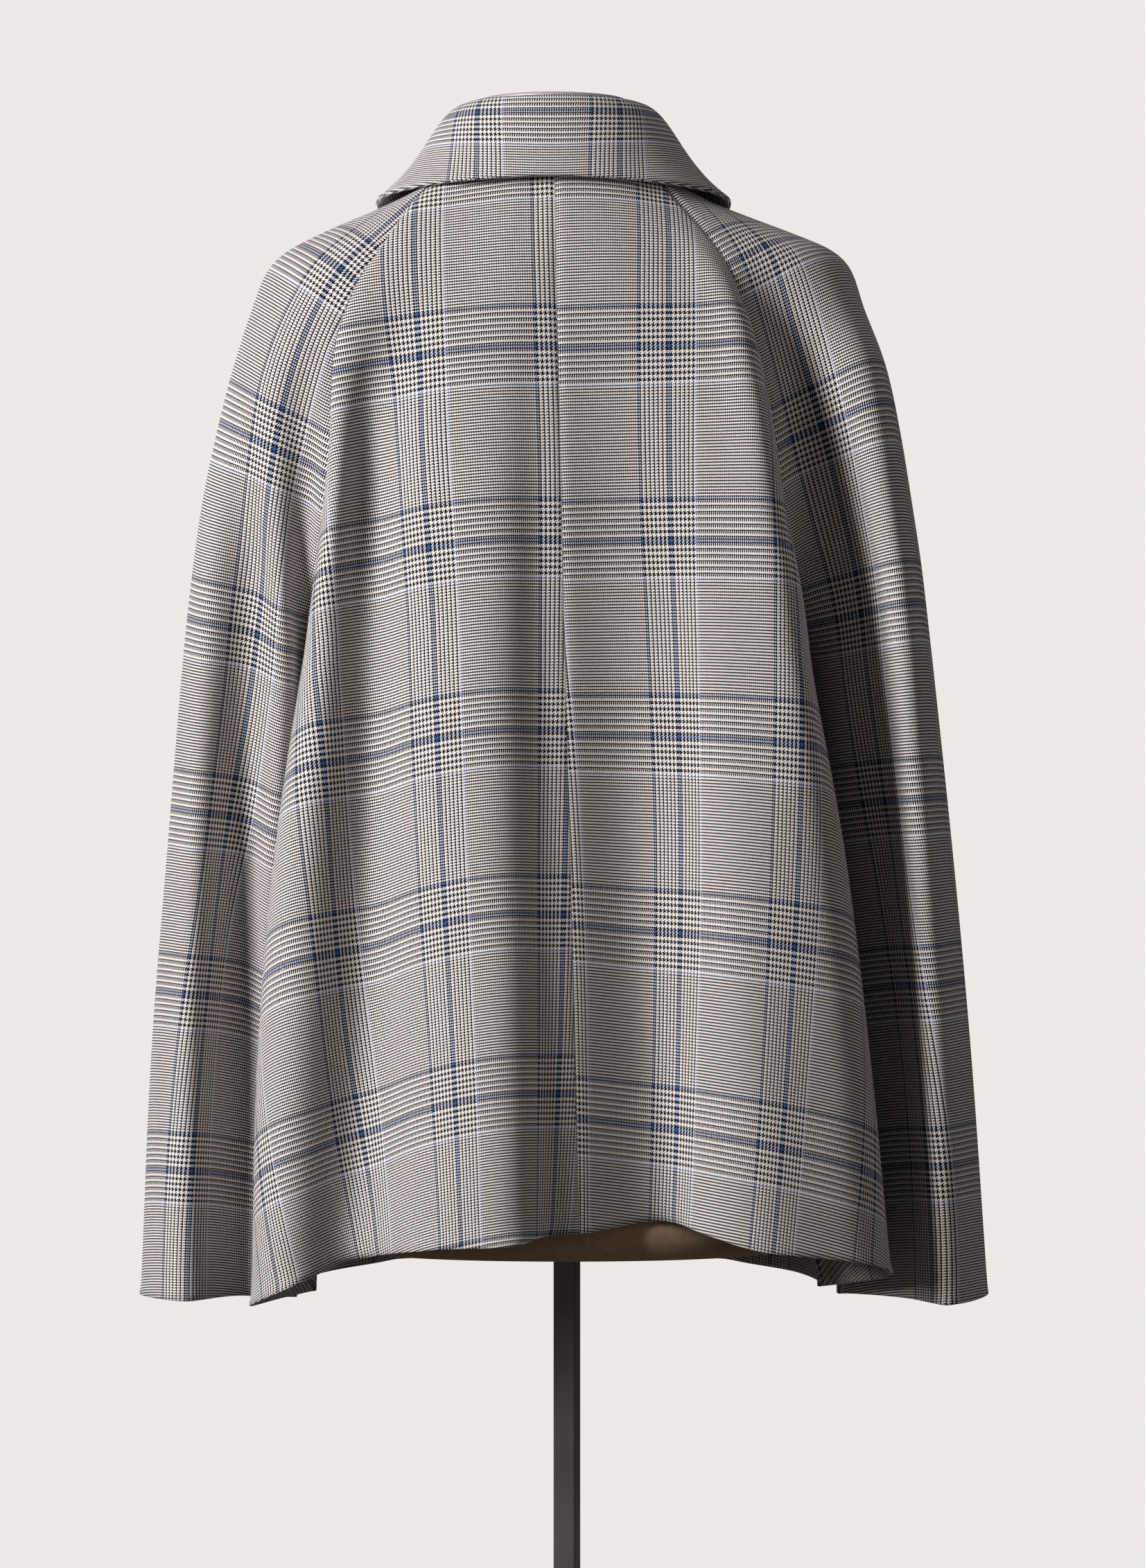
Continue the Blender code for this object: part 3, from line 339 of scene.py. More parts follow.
# Studio
CAMERA_PLACE = (0.0037, -3.6, 1.0264)
CAMERA_LENS = 124.5
CAMERA_SENSOR = 36.0
FLOOR_RADIUS = 3.3
FLOOR_SIDES = 128
FILL_STRENGTH = 0.05
LIGHTS = (
    # name, place, the point it faces, width and height, watts
    ("key", (-2.38, -1.8, 2.03), (0, 0, 1.1), (0.81, 1.28), 111.0),
    ("top", (0.0, 0.4, 3.4), (0, 0, 1.0), (2.0, 2.0), 8.0),
    ("front", (0.6, -3.4, 1.6), (0, 0, 1.1), (2.4, 2.4), 2.0),
    ("right", (3.2, -1.4, 1.3), (0, 0, 1.1), (1.6, 1.6), 9.0),
    ("far_side", (-1.2, 3.2, 1.8), (0, 0, 1.1), (1.8, 1.8), 60.0),
)

# Neighbours in a grid: along a row, down a column and along both diagonals
WHOLE = slice(None)
LOW = slice(None, -1)
HIGH = slice(1, None)
NEIGHBOURS = (
    ((WHOLE, LOW), (WHOLE, HIGH)),
    ((LOW, WHOLE), (HIGH, WHOLE)),
    ((LOW, LOW), (HIGH, HIGH)),
    ((LOW, HIGH), (HIGH, LOW)),
)


def unit(vectors):
    """Vectors along the last axis, each made one unit long."""
    length = np.linalg.norm(vectors, axis=-1, keepdims=True)
    return vectors / np.maximum(length, TINY)


def spline(knots, values, at, closed_before=None, closed_after=None):
    """Smooth curve through values at rising knots, read at each of at.

    The slopes are those of the parabola through each point and its neighbours. A point before the
    first one or after the last one, where given, sets the slope at that end.
    """
    knots = np.asarray(knots, float)
    values = np.asarray(values, float)
    step = np.diff(knots)[:, None]
    chord = np.diff(values, axis=0) / step
    slope = np.empty_like(values)
    slope[1:-1] = (chord[:-1] * step[1:] + chord[1:] * step[:-1]) / (step[:-1] + step[1:])
    slope[0] = chord[0]
    slope[-1] = chord[-1]
    if closed_before is not None:
        reach = knots[1] - knots[0] + np.linalg.norm(values[0] - closed_before)
        slope[0] = (values[1] - closed_before) / reach
    if closed_after is not None:
        reach = knots[-1] - knots[-2] + np.linalg.norm(closed_after - values[-1])
        slope[-1] = (closed_after - values[-2]) / reach
    at = np.asarray(at, float)
    place = np.clip(np.searchsorted(knots, at, side="right") - 1, 0, len(knots) - 2)
    gap = step[place]
    t = ((at - knots[place])[:, None]) / gap
    return (
        (2 * t**3 - 3 * t**2 + 1) * values[place]
        + (t**3 - 2 * t**2 + t) * gap * slope[place]
        + (3 * t**2 - 2 * t**3) * values[place + 1]
        + (t**3 - t**2) * gap * slope[place + 1]
    )


def chord_knots(points):
    """Distance along a row of points."""
    steps = np.linalg.norm(np.diff(points, axis=0), axis=1)
    return np.concatenate([[0.0], np.cumsum(np.maximum(steps, LEAST_STEP))])


def read_at(points, along, at):
    """Points at distances along a row."""
    return np.stack([np.interp(at, along, points[:, axis]) for axis in range(points.shape[1])], axis=1)


def section(points, columns, before=None, after=None):
    """A smooth section through its control points, as evenly spaced columns."""
    points = np.asarray(points, float)
    knots = chord_knots(points)
    fine = spline(knots, points, np.linspace(0, knots[-1], SECTION_STEPS * columns), before, after)
    along = chord_knots(fine)
    return read_at(fine, along, np.linspace(0, along[-1], columns + 1))


def neck_point(side, angle):
    """Point of the neck ring at an angle from the centre back, towards one side."""
    turn = math.radians(angle)
    dip = NECK_DIP * ((1 - math.cos(turn)) / 2) ** 2
    x = NECK_X + (1 if side == "right" else -1) * NECK_WIDE * math.sin(turn)
    return np.array([x, NECK_Y - NECK_DEEP * math.cos(turn), NECK_BACK_Z - dip])


def sleeve_table(side):
    """Control points of each sleeve row, as an array of rows, lines and x, y, z."""
    rows = [[neck_point(side, angle) for angle in SLEEVE_NECK_ANGLES]]
    for row in SLEEVE_ROWS[side]:
        z_back, z_out, z_front = row[:3]
        flat = np.array(row[3:]).reshape(8, 2)
        heights = list(np.linspace(z_back, z_out, OUTER_LINE + 1)) + [(z_out + z_front) / 2, z_front]
        rows.append(np.column_stack([flat, heights]))
    return np.array(rows)


def sleeve_lines(side):
    """Control points of every grid row of a sleeve: the yoke's rows, then the tube's."""
    table = sleeve_table(side)
    knots = chord_knots(table[:, OUTER_LINE])
    yoke = np.linspace(0, knots[UNDERARM_ROW], ROWS_YOKE + 1)
    tube = np.linspace(knots[UNDERARM_ROW], knots[-1], ROWS_SLEEVE + 1)[1:]
    at = np.concatenate([yoke, tube])
    flat = spline(knots, table.reshape(len(table), -1), at)
    return flat.reshape(len(at), -1, 3)


def sleeve_grid(side):
    """Outer face of a sleeve, rows from neck to cuff and columns from back seam to front seam."""
    grid = []
    for index, points in enumerate(sleeve_lines(side)):
        closed = min(max((index - ROWS_YOKE + CLOSING_ROWS) / CLOSING_ROWS, 0.0), 1.0)
        open_before = 2 * points[0] - points[1]
        open_after = 2 * points[-1] - points[-2]
        before = (1 - closed) * open_before + closed * points[-2]
        after = (1 - closed) * open_after + closed * points[1]
        grid.append(section(points, COLS_SLEEVE, before, after))
    return np.array(grid)


def body_rows(lines, neck_angles, side, seam_column, seam_side, columns):
    """Outer face of a body panel: control points of each row, made into even columns.

    lines are the panel's tables, each with its neck ring angle, and the last edge is the raglan
    seam down to the underarm and the side seam below it.
    """
    yoke_seam = sleeve_lines(side)[: ROWS_YOKE + 1, seam_column]
    ease = np.linspace(0, 1, ROWS_YOKE + 1) ** UNDERARM_EASE_POWER * UNDERARM_EASE * seam_side
    yoke_seam = yoke_seam + np.column_stack([ease, 0 * ease, 0 * ease])
    skirt = np.array(SIDE_SEAM[side], float)
    skirt_at = np.linspace(0, 1, ROWS_SKIRT + 1)[1:]
    knots = (skirt[0, 2] - skirt[:, 2]) / (skirt[0, 2] - skirt[-1, 2])
    skirt_seam = spline(knots, skirt, skirt_at)
    skirt_seam[:, 0] += UNDERARM_EASE * seam_side
    seam = np.vstack([yoke_seam, skirt_seam])
    top_z = seam[0, 2]
    arm_z = seam[ROWS_YOKE, 2]
    tracks = []
    for angle, table in zip(neck_angles, lines):
        points = np.vstack([neck_point(side, angle), np.array(table, float)])
        arm_line = arm_z + ARM_LINE_RISE * (1 - angle / RAGLAN_BACK_ANGLE if angle < 90 else 0)
        yoke_z = points[0, 2] + (yoke_seam[:, 2] - top_z) * (points[0, 2] - arm_line) / (top_z - arm_z)
        skirt_z = arm_line + (points[-1, 2] - arm_line) * skirt_at
        z = np.concatenate([yoke_z, skirt_z])
        tracks.append(spline(-points[:, 2], points, np.clip(-z, -points[0, 2], -points[-1, 2])))
    grid = []
    for row in range(len(seam)):
        points = [track[row] for track in tracks] + [seam[row]]
        grid.append(section(points, columns))
    return np.array(grid)


def back_grid(side):
    """Outer face of one half of the back, columns from the centre back to the side."""
    lines = [CENTRE_BACK] + (BACK_LEFT_LINES if side == "left" else BACK_RIGHT_LINES)
    angles = np.linspace(0, RAGLAN_BACK_ANGLE, len(lines) + 1)[:-1]
    inward = 1 if side == "left" else -1
    return body_rows(lines, angles, side, 0, inward, COLS_BACK)


def front_grid(side):
    """Outer face of one front, columns from its overlapping edge to the side."""
    out = 1 if side == "right" else -1
    lines = [[(FRONT_MID_X + out * x, y, z) for x, y, z in table] for table in FRONT_LINES]
    grid = body_rows(lines, FRONT_NECK_ANGLES, side, -1, -out, COLS_FRONT)
    if side == "left":
        reach = (FRONT_MID_X - grid[:, :, 0] - UNDER_REACH) / UNDER_BLEND
        reach = np.clip(reach, 0, 1)[:, :, None]
        grid -= normals(grid, out) * UNDER_STEP * (1 - reach**2 * (3 - 2 * reach))
    return grid


def normals(grid, sign):
    """Outward normals of a grid of points."""
    down = np.gradient(grid, axis=0)
    across = np.gradient(grid, axis=1)
    return sign * unit(np.cross(across, down))


def soften(grid, passes):
    """Even out the kinks of a grid, with its edges held."""
    for _ in range(passes):
        around = (grid[:-2, 1:-1] + grid[2:, 1:-1] + grid[1:-1, :-2] + grid[1:-1, 2:]) / 4
        grid[1:-1, 1:-1] += SMOOTH_SHARE * (around - grid[1:-1, 1:-1])
    return grid


def close_columns(grid):
    """The same rows with more columns next to both edges."""
    rows = []
    steps = np.array(EDGE_STEPS)
    count = grid.shape[1]
    for row in grid:
        along = chord_knots(row)
        total = along[-1]
        between = np.linspace(steps[-1], total - steps[-1], count)[1:-1]
        rows.append(read_at(row, along, np.concatenate([steps, between, total - steps[::-1]])))
    return np.array(rows)


def share_normals(first, first_column, second, second_column, shares):
    """Mitre two panels at their seam: each edge normal takes up the other's, by a share per row."""
    rows = len(shares)
    a = first[:rows, first_column].copy()
    b = second[:rows, second_column].copy()
    first[:rows, first_column] = unit(a + shares[:, None] * b)
    second[:rows, second_column] = unit(b + shares[:, None] * a)


def draw_in(grid, face, column, neighbour, amount):
    """Pull one edge column back along the cloth by half a seam gap."""
    inward = grid[:, neighbour] - grid[:, column]
    inward -= (inward * face[:, column]).sum(axis=1, keepdims=True) * face[:, column]
    grid[:, column] += unit(inward) * amount


def sink_seam(grid, face, last):
    """Sink the cloth into a furrow along its first or last column."""
    away = run_lengths(grid, 1)
    if last:
        away = away[:, -1:] - away
    grid -= face * (SEAM_DIP * np.exp(-((away / SEAM_REACH) ** 2)))[:, :, None]


def lay_rows(grid, start):
    """A first flat cut: across the grain along each row, and down it by the rows' mean distance."""
    wide = run_lengths(grid, 1)
    down = run_lengths(grid, 0).mean(axis=1)[:, None]
    return np.stack([wide - wide[:, start : start + 1], np.broadcast_to(down, wide.shape)], axis=2)


def run_lengths(grid, axis):
    """Distance along each row or column of a grid."""
    steps = np.linalg.norm(np.diff(grid, axis=axis), axis=2)
    first = np.zeros_like(steps[:, :1] if axis else steps[:1])
    return np.concatenate([first, np.cumsum(steps, axis=axis)], axis=axis)


def relax(flat, spans, passes):
    """Flat points moved step by step until the edges and diagonals between them have given lengths."""
    share = np.zeros(flat.shape[:2])
    for a, b in NEIGHBOURS:
        share[a] += 1
        share[b] += 1
    flat = flat.copy()
    speed = np.zeros_like(flat)
    for _ in range(passes):
        move = np.zeros_like(flat)
        for (a, b), span in zip(NEIGHBOURS, spans):
            step = flat[b] - flat[a]
            long = np.linalg.norm(step, axis=2)
            pull = step * ((long - span) / np.maximum(long, LEAST_STEP) / 2)[:, :, None]
            move[a] += pull
            move[b] -= pull
        speed = RELAX_SPEED * speed + move / share[:, :, None]
        flat += speed
    return flat


def lay_flat(grid, start):
    """The flat cut of a piece: relaxed on a coarse net of its rows and columns, then on all of them."""
    first = lay_rows(grid, start)
    wide = run_lengths(grid, 1)
    tall = run_lengths(grid, 0)
    rows = np.unique(np.linspace(0, len(grid) - 1, NET_ROWS).astype(int))
    columns = np.unique(np.linspace(0, grid.shape[1] - 1, NET_COLUMNS).astype(int))
    net = np.ix_(rows, columns)
    across = np.diff(wide[net], axis=1)
    down = np.diff(tall[net], axis=0)
    corner = grid[net]
    slant = (unit(np.diff(corner, axis=1))[:-1] * unit(np.diff(corner, axis=0))[:, :-1]).sum(axis=2)
    side = (across[:-1] + across[1:]) / 2
    drop = (down[:, :-1] + down[:, 1:]) / 2
    squares = side**2 + drop**2
    turn = 2 * side * drop * slant
    spans = [across, down, np.sqrt(squares + turn), np.sqrt(squares - turn)]
    coarse = relax(first[net], spans, NET_PASSES)
    place = wide.mean(axis=0)
    filled = [[np.interp(place, place[columns], row[:, k]) for row in coarse] for k in (0, 1)]
    between = np.stack(filled, axis=2)
    at = np.arange(len(grid))
    flat = np.empty_like(first)
    for column in range(grid.shape[1]):
        for k in (0, 1):
            flat[:, column, k] = np.interp(at, rows, between[:, column, k])
    near = [np.linalg.norm(grid[b] - grid[a], axis=2) for a, b in NEIGHBOURS]
    return relax(flat, near, RELAX_PASSES)


def lay_strip(grid, start, row):
    """Flat coordinates of a strip eased to its shape: along one row, and down each column."""
    along = chord_knots(grid[row])
    down = run_lengths(grid, 0)
    return np.stack([np.broadcast_to(along - along[start], down.shape), down], axis=2)


def place_check(flat, place):
    """Where points of a flat cut lie on the check, across and down it in millimetres."""
    u, v = flat.T / DECIMETRE
    terms = np.stack([np.ones_like(u), u, v, u * v, u * u, v * v, u * u * v, u * v * v, v**3], axis=1)
    return np.stack([terms[:, : len(row)] @ np.array(row) for row in place], axis=1)


def cloth(name, grid, face, flat, finish, wall=WALL):
    """A shell of cloth with rounded rims, and its flat cut as a UV map in metres."""
    rows, columns = grid.shape[:2]
    wall = np.broadcast_to(np.asarray(wall, float), (rows, columns))[:, :, None]
    inner = grid - face * wall
    index = np.arange(rows * columns).reshape(rows, columns)
    border = [(0, c) for c in range(columns)] + [(r, columns - 1) for r in range(1, rows)]
    border += [(rows - 1, c) for c in range(columns - 2, -1, -1)] + [(r, 0) for r in range(rows - 2, 0, -1)]
    rim = tuple(np.array(border).T)
    inside = tuple(np.clip(border, 1, (rows - 2, columns - 2)).T)
    out = unit(grid[rim] - grid[inside])
    middle = (grid[rim] + inner[rim]) / 2 + out * RIM_SWELL
    points = np.vstack([grid.reshape(-1, 3), inner.reshape(-1, 3), middle]) * MM
    quads = np.stack([index[:-1, :-1], index[:-1, 1:], index[1:, 1:], index[1:, :-1]], axis=2).reshape(-1, 4)
    under = quads[:, ::-1] + rows * columns
    ring = index[rim]
    swell = 2 * rows * columns + np.arange(len(border))
    ahead = np.roll(ring, -1)
    swell_ahead = np.roll(swell, -1)
    upper = np.stack([ahead, ring, swell, swell_ahead], axis=1)
    lower = np.stack([swell_ahead, swell, ring + rows * columns, ahead + rows * columns], axis=1)
    faces = np.vstack([quads, under, upper, lower])
    mesh = bpy.data.meshes.new(name)
    mesh.from_pydata(points.tolist(), [], faces.tolist())
    bm = bmesh.new()
    bm.from_mesh(mesh)
    bmesh.ops.recalc_face_normals(bm, faces=bm.faces)
    bm.to_mesh(mesh)
    bm.free()
    cut = place_check(flat.reshape(-1, 2), CHECK_PLACE[name]) * MM
    turned = unit(cut[ring] - cut[index[inside]])
    cut = np.vstack([cut, cut, cut[ring] + turned * wall[rim] * MM / 2])
    layer = mesh.uv_layers.new(name="cloth")
    corners = np.empty(len(mesh.loops), dtype=np.int32)
    mesh.loops.foreach_get("vertex_index", corners)
    layer.uv.foreach_set("vector", cut[corners].astype(np.float32).ravel())
    mesh.shade_smooth()
    mesh.materials.append(finish)
    piece = bpy.data.objects.new("cloth_" + name, mesh)
    bpy.context.scene.collection.objects.link(piece)
    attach(piece, "root")
    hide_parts(name)


def build_body_and_sleeves(wool):
    """The six main pieces, mitred and a small gap apart at their seams."""
    grids = {}
    faces = {}
    for side in ("left", "right"):
        out = 1 if side == "left" else -1
        parts = (("back_", back_grid, out), ("front_", front_grid, -out), ("sleeve_", sleeve_grid, out))
        for part, make, sign in parts:
            grid = close_columns(soften(make(side), SMOOTH_PASSES))
            grids[part + side] = grid
            faces[part + side] = normals(grid, sign)
    yoke = 1 - np.clip((np.linspace(0, 1, ROWS_YOKE + 1) - MITRE_END) / MITRE_FADE, 0, 1)
    skirt = np.concatenate([np.zeros(ROWS_YOKE), np.ones(ROWS_SKIRT + 1)])
    whole = np.ones(ROWS_YOKE + ROWS_SKIRT + 1)
    tube = np.concatenate([np.zeros(ROWS_YOKE), np.ones(ROWS_SLEEVE + 1)])
    share_normals(faces["back_left"], 0, faces["back_right"], 0, whole)
    for side in ("left", "right"):
        back, front, sleeve = (faces[part + side] for part in ("back_", "front_", "sleeve_"))
        share_normals(back, -1, sleeve, 0, yoke)
        share_normals(front, -1, sleeve, -1, yoke)
        share_normals(back, -1, front, -1, skirt)
        share_normals(sleeve, 0, sleeve, -1, tube)
    for name, grid in grids.items():
        face = faces[name]
        flat = lay_flat(grid, grid.shape[1] // 2 if name.startswith("sleeve") else 0)
        if name in ("back_left", "sleeve_left", "front_right"):
            flat[:, :, 0] *= -1
        draw_in(grid, face, -1, -2, RAGLAN_GAP / 2)
        sink_seam(grid, face, last=True)
        if name.startswith("sleeve"):
            draw_in(grid, face, 0, 1, RAGLAN_GAP / 2)
            sink_seam(grid, face, last=False)
        elif name.startswith("back"):
            draw_in(grid, face, 0, 1, SEAM_GAP / 2)
            sink_seam(grid, face, last=False)
        cloth(name, grid, face, flat, wool)


def collar_columns():
    """The collar's table, read at even angles along the collar."""
    table = np.array(COLLAR_ROWS)
    mirrored = table[:0:-1].copy()
    mirrored[:, 0] *= -1
    whole = np.vstack([mirrored, table])
    at = np.linspace(-STAND_END_ANGLE, STAND_END_ANGLE, COLS_COLLAR + 1)
    return spline(whole[:, 0], whole, at)


def ring_point(angle, radius, z, deep=None):
    """Point at an angle from the centre back, round the neck's axis."""
    turn = math.radians(angle)
    deep = radius if deep is None else deep
    return np.array([NECK_X + radius * math.sin(turn), NECK_Y - deep * math.cos(turn), z])


def build_collar(wool):
    """The stand, from the neck seam to the fold, and the leaf, from the fold to its edge."""
    stand = []
    leaf = []
    for angle, fold_z, edge_radius, edge_z, bulge, hollow in collar_columns():
        side = "right" if angle > 0 else "left"
        foot = neck_point(side, abs(angle))
        wide = NECK_WIDE - STAND_LEAN
        deep = NECK_DEEP - STAND_LEAN
        crown = ring_point(angle, wide, fold_z, deep)
        top = ring_point(angle, wide, fold_z - FOLD_RISE, deep)
        foot[2] += STAND_RISE
        stand.append([foot + (top - foot) * row / ROWS_STAND for row in range(ROWS_STAND + 1)])
        edge = ring_point(angle, edge_radius, edge_z)
        reach = (edge - crown) * (1, 1, 0)
        out = unit(reach)
        shoulder = crown + out * bulge - (0, 0, FOLD_DROP)
        chest = crown + reach * hollow - (0, 0, LEAF_STEEP * (fold_z - edge_z))
        start = crown - out * FOLD_BACK - (0, 0, FOLD_BACK_DROP)
        column = [start, (start + crown) / 2 + (0, 0, FOLD_CREST)]
        for t in np.arange(ROWS_LEAF + 1) / ROWS_LEAF:
            upper = (1 - t) ** 3 * crown + 3 * t * (1 - t) ** 2 * shoulder
            column.append(upper + 3 * t**2 * (1 - t) * chest + t**3 * edge)
        leaf.append(column)
    stand = np.array(stand).transpose(1, 0, 2)
    leaf = np.array(leaf).transpose(1, 0, 2)
    middle = COLS_COLLAR // 2
    last_third = np.clip(3 * np.linspace(0, 1, leaf.shape[0]) - 2, 0, 1)[:, None]
    wall = LEAF_WALL + (LEAF_EDGE_WALL - LEAF_WALL) * last_third * np.ones((1, leaf.shape[1]))
    leaf_face = normals(leaf, -1)
    leaf_out = leaf + leaf_face * ((wall - LEAF_WALL) / 2)[:, :, None]
    cloth("collar_stand", stand, normals(stand, 1), lay_strip(stand, middle, ROWS_STAND), wool)
    cloth("collar_leaf", leaf_out, leaf_face, lay_strip(leaf, middle, ROWS_LEAF // 2), wool, wall)


def form_ring(z, half_width, behind, front):
    """One ring of the form: a squared ellipse, round at the neck."""
    foot_z = FORM_ROWS[0][0]
    centre = FORM_TOP_X * (z - foot_z) / (NECK_TOP - foot_z)
    neck = min(max((z - ROUND_FROM) / ROUND_OVER, 0), 1)
    power = FORM_SQUARENESS * (1 - neck) + 2 * neck
    points = []
    for step in range(FORM_SIDES):
        turn = 2 * math.pi * step / FORM_SIDES
        across = math.sin(turn)
        along = -math.cos(turn)
        x = centre + half_width * math.copysign(abs(across) ** (2 / power), across)
        y = (behind if along < 0 else front) * math.copysign(abs(along) ** (2 / power), along)
        points.append((x, y + NECK_Y * neck, z))
    return points


def build_form(linen):
    """The torso, at a finer step than its solid, with the linen's flat cut as a UV map."""
    table = np.array(FORM_ROWS)
    heights = np.concatenate([FORM_EDGE_HEIGHTS, np.linspace(FORM_SIDE_FOOT, NECK_TOP, FORM_RINGS)])
    rows = spline(table[:, 0], table, heights)
    bm = bmesh.new()
    layer = bm.loops.layers.uv.new("cloth")
    rings = [[bm.verts.new(Vector(point) * MM) for point in form_ring(*row)] for row in rows]
    for low, high in zip(rings, rings[1:]):
        for a in range(FORM_SIDES):
            b = (a + 1) % FORM_SIDES
            face = bm.faces.new((low[a], low[b], high[b], high[a]))
            for loop, step in zip(face.loops, (a, a + 1, a + 1, a)):
                loop[layer].uv = (step * LINEN_ROUND / FORM_SIDES, loop.vert.co.z)
    for ring in (rings[0], rings[-1]):
        face = bm.faces.new(ring)
        for loop in face.loops:
            loop[layer].uv = (loop.vert.co.x, loop.vert.co.y)
    bmesh.ops.recalc_face_normals(bm, faces=bm.faces)
    mesh = bpy.data.meshes.new("form_linen")
    bm.to_mesh(mesh)
    bm.free()
    mesh.shade_smooth()
    mesh.set_sharp_from_angle(angle=math.radians(FORM_SHARP))
    mesh.materials.append(linen)
    piece = bpy.data.objects.new("form_linen", mesh)
    bpy.context.scene.collection.objects.link(piece)
    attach(piece, "root")
    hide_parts("form_torso")


# Shader nodes


def calc(tree, operation, *values, kind="ShaderNodeMath"):
    """A Math node, or a Vector Math one, on numbers or sockets."""
    node = tree.nodes.new(kind)
    node.operation = operation
    for socket, value in zip(node.inputs, values):
        if isinstance(value, bpy.types.NodeSocket):
            tree.links.new(value, socket)
        else:
            socket.default_value = value
    return node.outputs[0]


def blend(tree, share, first, second, kind="MIX"):
    """A colour between two, each a tuple or a socket."""
    node = tree.nodes.new("ShaderNodeMix")
    node.data_type = "RGBA"
    node.blend_type = kind
    for socket, value in zip((node.inputs[0], node.inputs[6], node.inputs[7]), (share, first, second)):
        if isinstance(value, bpy.types.NodeSocket):
            tree.links.new(value, socket)
        elif isinstance(value, tuple):
            socket.default_value = (*value, 1.0)
        else:
            socket.default_value = value
    return node.outputs[2]


def speckle(tree, vector, scale, detail=2.0, output="Fac"):
    """Noise on a vector socket, from 0 to 1."""
    node = tree.nodes.new("ShaderNodeTexNoise")
    node.inputs["Scale"].default_value = scale
    node.inputs["Detail"].default_value = detail
    tree.links.new(vector, node.inputs["Vector"])
    return node.outputs[output]


def within(tree, value, low, high):
    """1 where a value lies between two others."""
    over = calc(tree, "GREATER_THAN", value, low)
    return calc(tree, "MULTIPLY", over, calc(tree, "LESS_THAN", value, high))


def spread(tree, value, low, high):
    """A value from 0 to 1, made to lie between two others."""
    return calc(tree, "MULTIPLY_ADD", value, high - low, low)


def split(tree, vector):
    """The parts of a vector socket, by their names X, Y and Z."""
    node = tree.nodes.new("ShaderNodeSeparateXYZ")
    tree.links.new(vector, node.inputs[0])
    return node.outputs


def paint_with(tree, shader, tint, tone):
    """The shader's colour: a tint times a tone."""
    tree.links.new(blend(tree, 1.0, tint, tone, "MULTIPLY"), shader.inputs["Base Color"])


def threads(tree, place, repeat, band):
    """Thread count, dark mask, blue mask and thin blue mask along one direction of the check."""
    count = BAND_THREADS + GROUND_THREADS
    turns = calc(tree, "DIVIDE", place, repeat * MM)
    whole = calc(tree, "FLOOR", turns)
    within_repeat = calc(tree, "MULTIPLY", calc(tree, "FRACT", turns), repeat)
    in_band = calc(tree, "LESS_THAN", within_repeat, band)
    in_ground = calc(tree, "SUBTRACT", 1.0, in_band)
    band_thread = calc(tree, "MULTIPLY", within_repeat, BAND_THREADS / band)
    past = calc(tree, "SUBTRACT", within_repeat, band)
    ground_thread = calc(tree, "MULTIPLY_ADD", past, GROUND_THREADS / (repeat - band), BAND_THREADS)
    of_band = calc(tree, "MULTIPLY", band_thread, in_band)
    thread = calc(tree, "ADD", of_band, calc(tree, "MULTIPLY", ground_thread, in_ground))
    fours = calc(tree, "LESS_THAN", calc(tree, "MODULO", thread, 2 * BAND_STRIPE), BAND_STRIPE)
    twos = calc(tree, "LESS_THAN", calc(tree, "MODULO", thread, 2 * GROUND_STRIPE), GROUND_STRIPE)
    dark_band = calc(tree, "MULTIPLY", fours, in_band)
    dark = calc(tree, "ADD", dark_band, calc(tree, "MULTIPLY", twos, in_ground))
    stripe = within(tree, thread, *BLUE_THREADS)
    after = within(tree, thread, BAND_THREADS, BAND_THREADS + THIN_BLUE)
    before = calc(tree, "GREATER_THAN", thread, count - THIN_BLUE)
    thin = calc(tree, "ADD", after, before)
    total = calc(tree, "MULTIPLY_ADD", whole, count, thread)
    return total, dark, stripe, thin


def yarn_colour(tree, dark, stripe, thin):
    """Colour of one set of threads."""
    plain = blend(tree, dark, LIGHT_YARN, DARK_YARN)
    lined = blend(tree, thin, plain, PALE_BLUE_YARN)
    return blend(tree, stripe, lined, BLUE_YARN)


